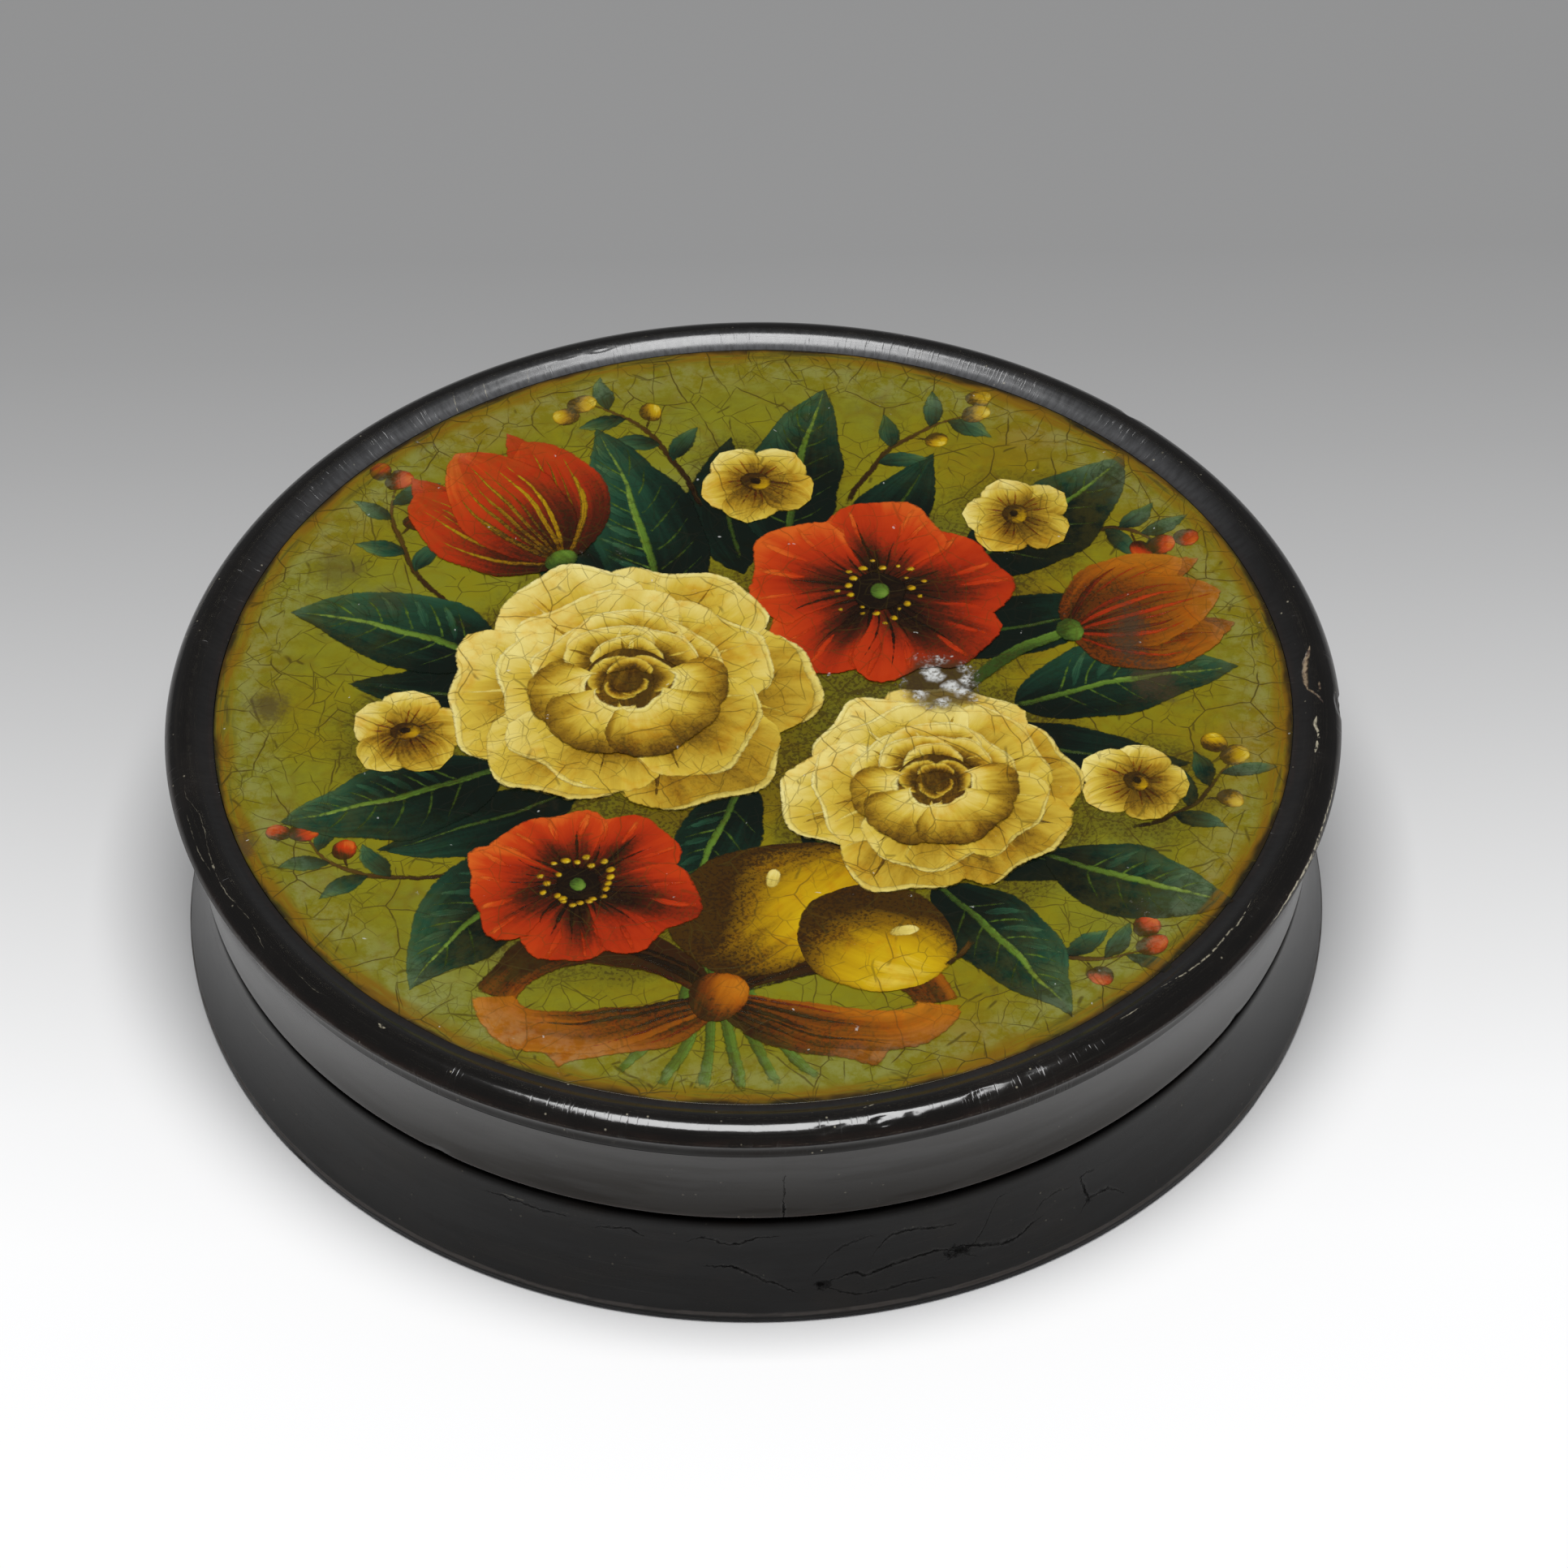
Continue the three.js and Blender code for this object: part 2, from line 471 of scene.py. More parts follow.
@dataclass(frozen=True)
class BlackLacquer:
    """Polished black lacquer over paper, rubbed brown along its edges, scratched and cracked with age.

    Where grime or painted shade dulls it the shader is part metal, which has no shine of its own in so dark a
    colour, so it renders darker there.
    """

    gloss: float = 0.2
    index: float = 1.55
    ripple: float = 0.0
    cross_scratch: float = 0.0
    dust: float = 0.15
    smeared: float = 0.35
    matted: float = 0.0
    relief: float = 0.05
    black: Colour = (0.0050, 0.0046, 0.0044)
    brown_black: Colour = (0.0085, 0.0066, 0.0052)
    rubbed: Colour = (0.042, 0.019, 0.012)
    pale: Colour = (0.46, 0.42, 0.31)
    # pale blue-grey of the rim's haze and its painted sheen
    bloom: Colour = (0.105, 0.107, 0.112)
    paper: Colour = (0.30, 0.225, 0.14)
    lip: Colour = (0.036, 0.034, 0.032)
    smear: Colour = (0.026, 0.024, 0.022)
    crack: Colour = (0.0008, 0.0007, 0.0006)

    def make(self, name: str, wear: Wear) -> bpy.types.Material:
        """Makes the lacquer for one piece.

        Args:
            name: the material's name.
            wear: the piece's rubbed edges, cracks and scratches.

        Returns:
            The material.
        """
        coat = Coat(name, self.black)
        at = coat.at
        around = coat.vector(at.arc, at.radius, at.z)
        cloud = coat.noise(at.spot, 0.16, 4.0, 0.6)
        grain = coat.noise(at.spot, 2.2, 3.0, 0.6)
        stray = (coat.noise(at.spot, 1.3, 5.0, 0.70) - 0.5) * 0.75
        coat.over(self.brown_black, cloud.rise(0.45, 0.75))
        wiped = coat.streaks(around, (0.07, 0.45, 0.45), 4.0, 0.62)
        coat.over(self.smear, wiped.rise(0.48, 0.72, self.smeared))

        broken = coat.streaks(around, (0.35, 1.6, 1.6), 4.0, 0.65)
        rubbing: Wire | float = 0.0
        for edge in wear.edges:
            rubbing = edge.nearness(at) * (broken.rise(0.36, 0.66) * 0.8 + 0.2) + rubbing
        coat.over(self.rubbed, rubbing)

        hairs, cross = self.polish_marks(coat, around, cloud)
        # Painted sheen, with some real haze: a pale blue-grey on the bead's inner slope. It shows only
        # towards the back, from y = 12 mm, where it stands in for the soft reflection seen there.
        bloom: Wire | float = 0.0
        if wear.haze_and_sheen:
            hazy = coat.streaks(around, (2.0, 0.5, 0.5), 4.0, 0.70).rise(0.34, 0.62)
            bloom = wear.haze_and_sheen.nearness(at) * (at.y.rise(12.0, 46.0) + 0.08) * (hazy * 0.35 + 0.65)
            coat.over(self.bloom, bloom)
        dust = coat.cells(at.spot, 1.3, "F1", "3D").rise(0.12, 0.05, self.dust) * cloud.rise(0.45, 0.58)
        pale = self.drawn(coat, wear.scratches, stray * 0.4)[0] - broken.rise(0.60, 0.46, 0.34)
        pale = pale.most(0.0) * grain.rise(0.36, 0.56)
        coat.over(self.pale, (pale + dust + hairs * 0.008).least(1.0))

        bared = (coat.attribute("bare") + (grain - 0.5) * 0.7).rise(0.42, 0.60)
        bared = bared.most(self.drawn(coat, wear.chips, stray * 0.5)[0])
        coat.over(coat.mix(self.paper, self.rubbed, grain.rise(0.38, 0.62)), bared)
        parting = coat.noise(at.spot, 0.9, 3.0, 0.6)
        split, lips = self.drawn(coat, wear.cracks, stray)
        split = (parting.rise(0.36, 0.58) * 0.45 + 0.55) * split
        if wear.pits:
            ragged = (coat.noise(at.spot, 1.9, 5.0, 0.75) - 0.5) * 3.6
            for pit in wear.pits:
                split = split.most(pit.draw(at, ragged))
        coat.over(self.lip, grain.rise(0.36, 0.60, 0.5) * lips)
        coat.over(self.crack, split)

        swell = coat.streaks(around, (0.5, 0.8, 0.8), 2.0)
        rough = self.gloss + (cloud - 0.5) * 0.08 + hairs * 0.03 + cross * 0.12
        rough = rough + (rubbing + dust + bloom) * 0.2
        height = grain * 0.05 + swell * self.ripple - hairs * 0.012 - cross * 0.2 - bared * (0.6 + grain)
        # Painted shade: the dulled edges that a piece lists, in a seam, a cove or round a foot, lose their
        # shine through the metal share and so render darker; matted also makes them rougher.
        grime_and_shade: Wire | float = 0.0
        for edge in wear.dulled_and_shaded:
            grime_and_shade = edge.nearness(at) * (cloud * 0.4 + 0.8) + grime_and_shade
        rough = rough + bared * 0.4 + split * 0.3 + grime_and_shade * self.matted
        dulled_and_shaded = wiped.rise(0.40, 0.66, self.smeared * 0.8) + split + grime_and_shade
        others = {"IOR": self.index, "Metallic": dulled_and_shaded.least(1.0)}
        return coat.finish(rough, height - split * 2.2, self.relief, others)

    def polish_marks(self, coat: Coat, around: Wire, cloud: Wire) -> tuple[Wire, Wire]:
        """Fine hairlines along the turning, and patches of short scratches across it.

        Args:
            coat: the lacquer so far.
            around: place as arc, radius and height.
            cloud: soft noise.

        Returns:
            How strong the hairlines are, and how strong the cross scratches.
        """
        along = coat.streaks(around, (0.05, 6.0, 6.0), 1.0).rise(0.60, 0.72)
        short = coat.streaks(around, (4.5, 0.45, 0.45), 2.0).rise(0.54, 0.70)
        patch = coat.noise(around, 0.07, 2.0)
        return along * patch.rise(0.40, 0.60), short * cloud.rise(0.44, 0.58, self.cross_scratch)

    @staticmethod
    def drawn(coat: Coat, marks: Sequence[Mark], stray: Wire) -> tuple[Wire | float, Wire | float]:
        """Draws all of a piece's cracks or scratches.

        Args:
            coat: the lacquer so far.
            marks: the lines.
            stray: how far they stray sideways.

        Returns:
            How strongly the point is marked, and how close beside a mark it is.
        """
        total: Wire | float = 0.0
        beside: Wire | float = 0.0
        for mark in marks:
            away = mark.draw(coat, stray)
            total = away.rise(1.0, 0.3, mark.amount).most(total)
            beside = away.rise(2.6, 1.0, mark.amount).most(beside)
        return total, beside


@dataclass(frozen=True)
class InnerLacquer:
    """Thin brown-black lacquer inside the box, rubbed by the lid and stained by snuff."""

    gloss: float = 0.42
    index: float = 1.48
    relief: float = 0.06
    gathering: float = 11.0
    dark: Colour = (0.016, 0.009, 0.006)
    brown: Colour = (0.060, 0.028, 0.014)
    dust: Colour = (0.115, 0.062, 0.028)
    paper: Colour = (0.26, 0.17, 0.085)

    def make(self, name: str, edges: Sequence[WornEdge], corner: Spot) -> bpy.types.Material:
        """Makes the lacquer for one piece.

        Args:
            name: the material's name.
            edges: the piece's rubbed circles.
            corner: radius and height of the corner where snuff gathers.

        Returns:
            The material.
        """
        coat = Coat(name, self.dark)
        at = coat.at
        around = coat.vector(at.arc, at.radius, at.z)
        cloud = coat.noise(at.spot, 0.12, 4.0, 0.6)
        grain = coat.noise(at.spot, 1.8, 4.0, 0.65)
        rubs = coat.streaks(around, (1.5, 0.2, 0.2), 3.0, 0.6)
        coat.over(self.brown, cloud.rise(0.40, 0.72, 0.8))
        coat.over(self.brown, rubs.rise(0.56, 0.70, 0.7))
        bareness: Wire | float = 0.0
        for edge in edges:
            bareness = edge.nearness(at) * rubs.rise(0.36, 0.58) + bareness
        coat.over(self.paper, bareness)
        gathered = WornEdge(*corner, self.gathering, 1.0).nearness(at)
        dusty = gathered * (cloud + grain * 0.6).rise(0.62, 0.95)
        coat.over(self.dust, dusty * 0.75)
        speck = coat.noise(at.spot, 3.4, 2.0).rise(0.66, 0.72) * cloud.rise(0.35, 0.6)
        coat.over(self.dust, speck * 0.5)
        rough = self.gloss + (cloud - 0.5) * 0.2 + (dusty + speck) * 0.25 + bareness * 0.2
        height = grain * 0.5 + speck * 0.6 + rubs * 0.4 + dusty * grain
        return coat.finish(rough, height, self.relief, {"IOR": self.index})


class Pigment(Enum):
    """The paints of the picture."""

    CREAM = "cream"
    WHITE = "white"
    VERMILION = "vermilion"
    ORANGE = "orange"
    GOLD = "gold"
    TEAL = "teal"
    LEAF = "leaf"
    UMBER = "umber"


CREAM, WHITE, VERMILION, ORANGE, GOLD, TEAL, LEAF, UMBER = Pigment


@dataclass(frozen=True)
class Stain:
    """A patch on the picture's varnish."""

    x: float
    y: float
    half_width: float
    half_height: float
    amount: float

    def nearness(self, at: Place) -> Wire:
        """Tells how far inside the stain a point is.

        Args:
            at: where the point is.

        Returns:
            1 in the stain's middle, 0 at its edge.
        """
        side = (at.x - self.x) / self.half_width
        up = (at.y - self.y) / self.half_height
        return (1.0 - (side * side + up * up) ** 0.5).most(0.0)


@dataclass(frozen=True)
class AgedPaint:
    """Oil paint under yellowed varnish, stippled in its shadows, crackled all over and grimed in places."""

    stops: Stops
    crackle: float = 0.7
    stipple: float = 0.6
    streak: float = 0.50
    mellow: float = 0.35
    dryness: float = 0.5
    glazing: float = 0.0
    gloss: float = 0.24
    index: float = 1.38
    relief: float = 0.04
    fleck: Colour = (0.026, 0.012, 0.003)
    glaze: Colour = (0.040, 0.026, 0.004)
    crack: Colour = (0.056, 0.038, 0.002)
    varnish: Colour = (0.90, 0.66, 0.14)
    grime: Colour = (0.050, 0.028, 0.010)
    tan: Colour = (0.105, 0.080, 0.008)
    amber: Colour = (0.19, 0.088, 0.004)
    haze: Colour = (0.26, 0.29, 0.15)
    # pale of the flaked spot, and of the painted glints
    flake_and_glint: Colour = (0.66, 0.67, 0.65)
    lacquer: Colour = (0.0060, 0.0050, 0.0045)
    picture_radius: float = 43.5
    block: float = 5.4
    chip: float = 2.5
    slants: tuple[float, ...] = (14.0, 72.0, 131.0)
    stains: tuple[Stain, ...] = (
        Stain(30.7, 8.6, 3.4, 6.6, 0.90), Stain(32.4, 2.6, 4.2, 4.4, 0.75),
        Stain(-39.3, 1.4, 3.4, 4.6, 0.70), Stain(-40.7, -14.4, 2.0, 3.0, 0.60),
        Stain(-33.8, 17.6, 4.6, 5.4, 0.40), Stain(-29.7, 13.6, 3.4, 3.4, 0.30),
    )
    loss: Stain = Stain(15.3, 2.6, 4.0, 4.6, 0.9)

    def make(self, name: str) -> bpy.types.Material:
        """Makes the paint.

        Args:
            name: the material's name.

        Returns:
            The material.
        """
        coat = Coat(name)
        cloud = coat.noise(coat.at.spot, 0.24, 5.0, 0.66)
        grain = coat.noise(coat.at.spot, 3.2, 2.0, 0.6)
        tone, bristle, shade = self.stroke(coat)
        coat.colour = coat.ramp(tone, self.stops)
        coat.over(self.varnish, cloud.rise(0.44, 0.70, self.mellow), "MULTIPLY")
        coat.over(self.glaze, shade * self.glazing)
        dots = (grain + (cloud - 0.5) * 0.5).rise(0.48, 0.60)
        coat.over(self.fleck, dots * shade * self.stipple)

        lines, halo = self.crackled(coat)
        coat.over(self.varnish, halo * cloud.rise(0.42, 0.66, 0.5), "MULTIPLY")
        self.edge(coat)
        coat.over(self.crack, lines * self.crackle)
        dirt = self.soil(coat, cloud, grain)
        rough = self.gloss + (cloud - 0.5) * 0.12 + lines * 0.08 + dirt * 0.3
        height = bristle * 0.5 + grain * 0.12 - lines * 0.18 + dirt * grain * 0.5
        broken = coat.noise(coat.at.spot, 1.7, 3.0, 0.6)
        others = {"IOR": self.index, "Alpha": self.cover(coat, broken)}
        return coat.finish(rough, height, self.relief, others)

    def cover(self, coat: Coat, broken: Wire) -> Wire | float:
        """Gives how well the stroke covers; a dry brush breaks its edge."""
        return (coat.attribute("edge") + (broken - 0.5) * self.dryness).rise(-0.05, 0.20)

    def stroke(self, coat: Coat) -> tuple[Wire, Wire, Wire]:
        """Reads a brush stroke's lightness and draws its bristle marks.

        Args:
            coat: the paint so far.

        Returns:
            The lightness, the bristle marks and how deep in shadow the point is.
        """
        across = coat.attribute("across")
        along = coat.attribute("along")
        seed = coat.attribute("seed") * 40.0
        bristle = coat.noise(coat.vector(across * 6.0, along * 1.3, seed), 1.0, 4.0, 0.62)
        load = coat.noise(coat.vector(across * 1.5, along * 1.1, seed + 9.0), 1.0, 2.0)
        tone = coat.attribute("tone") + (bristle - 0.5) * self.streak + (load - 0.5) * (self.streak * 0.9)
        return tone, bristle, tone.rise(0.60, 0.10)

    def crackled(self, coat: Coat) -> tuple[Wire, Wire]:
        """Draws the age cracks: a net of long and short ones, and straight ones that slant across it.

        Args:
            coat: the paint so far.

        Returns:
            How strong the cracks are, and the stain beside them.
        """
        spot = coat.at.spot
        bent = coat.warp(coat.warp(spot, 0.22, 1.6), 1.1, 0.20)
        blocks = coat.scatter(bent, self.block)
        chips = coat.scatter(blocks, self.chip)
        wide = coat.cells(bent, self.block)
        narrow = coat.cells(blocks, self.chip)
        patch = coat.noise(spot, 0.10, 2.0)
        fade = coat.noise(spot, 0.24, 2.0)
        lines = wide.rise(0.090, 0.025) * (fade.rise(0.40, 0.55) * 0.9 + 0.1)
        lines = lines.most(narrow.rise(0.070, 0.015) * fade.rise(0.58, 0.44, 0.8))
        fine = coat.cells(chips, self.chip / 2.0).rise(0.055, 0.012)
        lines = lines.most(fine * patch.rise(0.48, 0.66, 0.45))
        for heading in self.slants:
            turned = coat.turned(bent, heading)
            shown = coat.streaks(turned, (0.13, 0.40, 1.0), 2.0).rise(0.52, 0.62, 0.85)
            slits = coat.cells(coat.stretch(turned, (0.34, 1.0, 1.0)), 2.9)
            lines = lines.most(slits.rise(0.065, 0.012) * shown)
        return lines, wide.least(narrow).rise(0.6, 0.0)

    def edge(self, coat: Coat) -> None:
        """Adds the tan and the haze of old varnish near the edge, and the amber where it has pooled.

        Args:
            coat: the paint so far.
        """
        rim = self.picture_radius
        around = coat.vector(coat.at.arc, coat.at.radius)
        edge = coat.at.radius + (coat.streaks(around, (0.15, 0.5, 1.0), 3.0, 0.55) - 0.5) * 1.9
        mottle = coat.noise(coat.at.spot, 0.55, 5.0, 0.70)
        pooled = coat.streaks(around, (0.13, 1.5, 1.0), 4.0, 0.62)
        coat.over(self.tan, edge.rise(rim - 17.0, rim - 4.0) * mottle.rise(0.66, 0.36, 0.30))
        hazy = edge.rise(rim - 6.5, rim - 2.4) * edge.rise(rim - 1.0, rim - 2.2)
        coat.over(self.haze, hazy * mottle.rise(0.40, 0.60, 0.27))
        coat.over(self.amber, edge.rise(rim - 2.0, rim - 0.6) * pooled.rise(0.66, 0.44, 0.85))
        coat.over(self.grime, edge.rise(rim - 2.2, rim - 0.6) * pooled.rise(0.52, 0.66, 0.7))
        coat.over(self.lacquer, edge.rise(rim - 0.62, rim + 0.1, 0.9))

    def soil(self, coat: Coat, cloud: Wire, grain: Wire) -> Wire:
        """Adds the stains, the flaked spot and stray painted glints of light.

        Args:
            coat: the paint so far.
            cloud: soft noise.
            grain: fine noise.

        Returns:
            How dirty the point is.
        """
        at = coat.at
        dirt: Wire | float = 0.0
        for stain in self.stains:
            near = stain.nearness(at) + (cloud - 0.5) * 1.2 + (grain - 0.5) * 0.5
            dirt = near.rise(0.30, 0.85, stain.amount) + dirt
        coat.over(self.grime, dirt)
        near = self.loss.nearness(at)
        coat.over(self.grime, (near + (cloud - 0.5)).rise(0.10, 0.50, 0.85))
        crumb = coat.cells(coat.warp(at.spot, 0.9, 1.2), 1.7, "F1").rise(0.95, 0.22)
        lost = (near + (cloud - 0.5) * 0.9 + (grain - 0.5) * 0.8).rise(0.22, 0.70) * crumb
        coat.over(self.flake_and_glint, lost * (grain.rise(0.28, 0.62) * 0.75 + 0.25))
        # Painted highlights: tiny pale glints scattered over the varnish, as of raised crack edges catching
        # the light.
        glint = coat.cells(coat.warp(at.spot, 0.4, 3.0), 9.0, "F1").rise(0.14, 0.07)
        coat.over(self.flake_and_glint, glint * grain.rise(0.45, 0.55, 0.5))
        return dirt.least(1.0) + lost * 0.5


@dataclass(frozen=True)
class GroundPaint(AgedPaint):
    """The picture's plain ground, darkened by thin glazes round the posy."""

    def cover(self, coat: Coat, broken: Wire) -> Wire | float:
        """The ground covers all over."""
        return 1.0

    def stroke(self, coat: Coat) -> tuple[Wire, Wire, Wire]:
        """Draws the ground's broad brushing; its shadow is the mesh's own.

        Args:
            coat: the paint so far.

        Returns:
            The lightness, the bristle marks and how deep in shadow the point is.
        """
        spot = coat.at.spot
        brush = coat.streaks(coat.warp(spot, 0.05, 6.0), (0.10, 0.8, 0.4), 4.0, 0.6)
        patch = coat.noise(spot, 0.06, 5.0, 0.64)
        gloom = coat.attribute("gloom")
        shade = (gloom + (coat.noise(spot, 0.3, 4.0, 0.65) - 0.5) * 0.9).rise(0.25, 0.95)
        return patch.rise(0.28, 0.72) + (brush - 0.5) * self.streak, brush, shade


OLIVE_GROUND = GroundPaint(
    ((0.0, (0.232, 0.158, 0.003)), (0.24, (0.224, 0.184, 0.004)), (0.50, (0.215, 0.196, 0.006)),
     (0.78, (0.205, 0.202, 0.012)), (1.0, (0.215, 0.221, 0.034))),
    crackle=0.86, streak=0.5, mellow=0.12, glazing=0.50,
)
PAINTS: dict[Pigment, AgedPaint] = {
    CREAM: AgedPaint(
        ((0.0, (0.070, 0.034, 0.003)), (0.20, (0.19, 0.098, 0.005)), (0.42, (0.40, 0.24, 0.014)),
         (0.66, (0.61, 0.445, 0.050)), (1.0, (0.80, 0.68, 0.23))),
        crackle=0.58, stipple=0.45,
    ),
    WHITE: AgedPaint(
        ((0.0, (0.45, 0.32, 0.04)), (0.5, (0.70, 0.57, 0.14)), (1.0, (0.86, 0.77, 0.34))),
        crackle=0.45, stipple=0.2, mellow=0.15,
    ),
    VERMILION: AgedPaint(
        ((0.0, (0.015, 0.005, 0.002)), (0.25, (0.10, 0.012, 0.003)), (0.52, (0.38, 0.025, 0.003)),
         (0.80, (0.50, 0.042, 0.004)), (1.0, (0.62, 0.11, 0.012))),
        crackle=0.40, stipple=0.7, mellow=0.15, gloss=0.20,
    ),
    ORANGE: AgedPaint(
        ((0.0, (0.030, 0.010, 0.002)), (0.30, (0.16, 0.034, 0.002)), (0.60, (0.35, 0.095, 0.002)),
         (1.0, (0.50, 0.16, 0.006))),
        crackle=0.40, stipple=0.85, mellow=0.15,
    ),
    GOLD: AgedPaint(
        ((0.0, (0.050, 0.022, 0.002)), (0.30, (0.22, 0.11, 0.002)), (0.60, (0.47, 0.28, 0.002)),
         (0.85, (0.58, 0.38, 0.004)), (1.0, (0.74, 0.56, 0.07))),
        crackle=0.55, stipple=0.8, mellow=0.15,
    ),
    TEAL: AgedPaint(
        ((0.0, (0.003, 0.007, 0.004)), (0.30, (0.006, 0.022, 0.012)), (0.60, (0.014, 0.056, 0.028)),
         (0.85, (0.034, 0.095, 0.042)), (1.0, (0.09, 0.16, 0.05))),
        crackle=0.35, stipple=0.35, streak=0.55, mellow=0.1,
        crack=(0.010, 0.009, 0.003), fleck=(0.004, 0.006, 0.003),
    ),
    LEAF: AgedPaint(
        ((0.0, (0.030, 0.060, 0.008)), (0.5, (0.10, 0.19, 0.02)), (1.0, (0.25, 0.36, 0.06))),
        crackle=0.35, stipple=0.3, mellow=0.1,
    ),
    UMBER: AgedPaint(
        ((0.0, (0.008, 0.004, 0.0015)), (0.5, (0.035, 0.015, 0.003)), (1.0, (0.12, 0.055, 0.008))),
        crackle=0.3, stipple=0.2, mellow=0.1,
    ),
}


class Profile:
    """An outline of radius and height, in millimetres, that a shell is turned from."""

    def __init__(self, radius: float, height: float) -> None:
        """Starts the outline."""
        self.points = [Vector((radius, 0.0, height))]

    def line(self, radius: float, height: float, parts: int = 1) -> "Profile":
        """Goes on straight.

        Args:
            radius: where it ends.
            height: where it ends.
            parts: how many pieces the line is cut into.

        Returns:
            The outline itself.
        """
        start, end = self.points[-1], Vector((radius, 0.0, height))
        self.points += [start.lerp(end, part / parts) for part in range(1, parts + 1)]
        return self

    def curve(self, *corners: Spot, parts: int = 10) -> "Profile":
        """Goes on along a Bezier curve.

        Args:
            corners: the curve's further control points; the last one is its end.
            parts: how many pieces the curve is cut into.

        Returns:
            The outline itself.
        """
        controls = [self.points[-1], *(Vector((radius, 0.0, height)) for radius, height in corners)]
        self.points += [on_bezier(controls, part / parts) for part in range(1, parts + 1)]
        return self

    def hollow(self, radius: float, height: float, depth: float, parts: int = 14) -> "Profile":
        """Goes on along a side that curves in between its ends.

        Args:
            radius: where it ends.
            height: where it ends.
            depth: how far it curves in.
            parts: how many pieces it is cut into.

        Returns:
            The outline itself.
        """
        start = self.points[-1]
        knee = ((start.x + radius) / 2.0 - 2.0 * depth, (start.z + height) / 2.0)
        return self.curve(knee, (radius, height), parts=parts)


@dataclass(frozen=True)
class Dent:
    """A chip or bruise in a turned piece; without a height it lies on the upper face."""

    turn: float
    radius: float
    height: float | None
    half_arc: float
    half_width: float
    depth: float
    bare: float = 0.0

    def reach(self, vert: bmesh.types.BMVert) -> float:
        """Gives how far inside the dent a point is.

        Args:
            vert: the point.

        Returns:
            1 in the middle of the dent, 0 or less outside.
        """
        spot = vert.co
        if self.height is None and vert.normal.z < 0.05:
            return 0.0
        swing = math.atan2(spot.x, -spot.y) - math.radians(self.turn)
        along = ((swing + math.pi) % FULL_TURN - math.pi) * self.radius / self.half_arc
        rise = 0.0 if self.height is None else spot.z - self.height
        across = math.hypot(math.hypot(spot.x, spot.y) - self.radius, rise) / self.half_width
        return 1.0 - along * along - across * across


@dataclass(frozen=True)
class Turnery:
    """How a shell is turned and how far it has moved since."""

    STILL_CORE = 1.0
    SLOWNESS = 1.3
    LEVEL_SHARE = 0.6
    LEVEL_SHIFT = Vector((7.0, 3.0, 1.0))
    JAG_SCALE = 2.3

    steps: int = 480
    wander: float = 0.05
    seed: float = 0.0
    dents: tuple[Dent, ...] = ()

    def turn(self, name: str, outline: Profile, closed: bool) -> bpy.types.Object:
        """Turns an outline about the box's axis.

        Args:
            name: the piece's name.
            outline: what is turned.
            closed: true for a ring, false for a disc whose outline starts and ends on the axis.

        Returns:
            The finished object.
        """
        mesh = bmesh.new()
        bare = mesh.verts.layers.float.new("bare")
        corners = [mesh.verts.new(point) for point in outline.points]
        pairs = list(zip(corners, corners[1:]))
        if closed:
            pairs.append((corners[-1], corners[0]))
        edges = [mesh.edges.new(pair) for pair in pairs]
        bmesh.ops.spin(
            mesh, geom=corners + edges, cent=(0.0, 0.0, 0.0), axis=(0.0, 0.0, 1.0),
            angle=FULL_TURN, steps=self.steps, use_merge=True,
        )
        bmesh.ops.remove_doubles(mesh, verts=mesh.verts[:], dist=MERGE_GAP)
        bmesh.ops.recalc_face_normals(mesh, faces=mesh.faces[:])
        mesh.normal_update()
        moves = [(vert, self.move(vert, bare)) for vert in mesh.verts]
        for vert, move in moves:
            vert.co += move
        return finish_mesh(name, mesh)

    def move(self, vert: bmesh.types.BMVert, bare: bmesh.types.BMLayerItem) -> Vector:
        """Works out how far a point has warped and been dented.

        Args:
            vert: the point; how bare it is gets written on it.
            bare: the layer for that.

        Returns:
            The move.
        """
        spot = vert.co
        radius = math.hypot(spot.x, spot.y)
        if radius < self.STILL_CORE:
            return Vector()
        outward = Vector((spot.x, spot.y, 0.0)) / radius
        slow = Vector((outward.x * self.SLOWNESS, outward.y * self.SLOWNESS, self.seed))
        move = outward * noise.noise(slow) * self.wander
        level = noise.noise(slow + self.LEVEL_SHIFT) * self.wander * self.LEVEL_SHARE
        move += Vector((0.0, 0.0, level))
        for dent in self.dents:
            reach = dent.reach(vert)
            if reach > 0.0:
                jag = 0.75 + 0.5 * noise.noise(spot * self.JAG_SCALE)
                move -= vert.normal * dent.depth * jag * min(1.0, reach * 1.8)
                vert[bare] = max(vert[bare], dent.bare * min(1.0, reach * 2.2))
        return move


def finish_mesh(name: str, mesh: bmesh.types.BMesh) -> bpy.types.Object:
    """Turns a bmesh in millimetres into a smooth-shaded object in metres.

    Args:
        name: the piece's name.
        mesh: the shape; it is freed.

    Returns:
        The object, linked to the scene.
    """
    bmesh.ops.scale(mesh, vec=(MM, MM, MM), verts=mesh.verts[:])
    data = bpy.data.meshes.new(name)
    mesh.to_mesh(data)
    mesh.free()
    data.shade_smooth()
    data.set_sharp_from_angle(angle=math.radians(SHARP_ANGLE))
    made = bpy.data.objects.new(name, data)
    bpy.context.scene.collection.objects.link(made)
    return made


def fit(piece: bpy.types.Object, body: str, slot: str, finish: bpy.types.Material, *nodes: str) -> None:
    """Dresses a piece and joins it to the frame.

    Args:
        piece: the object.
        body: the CAD body that carries it.
        slot: the record's material slot; not used.
        finish: its material.
        nodes: the CAD nodes that it stands for.
    """
    piece.data.materials.append(finish)
    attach(piece, body)
    if nodes:
        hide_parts(*nodes)
    log.info("%s: %d faces on %s", piece.name, len(piece.data.polygons), body)


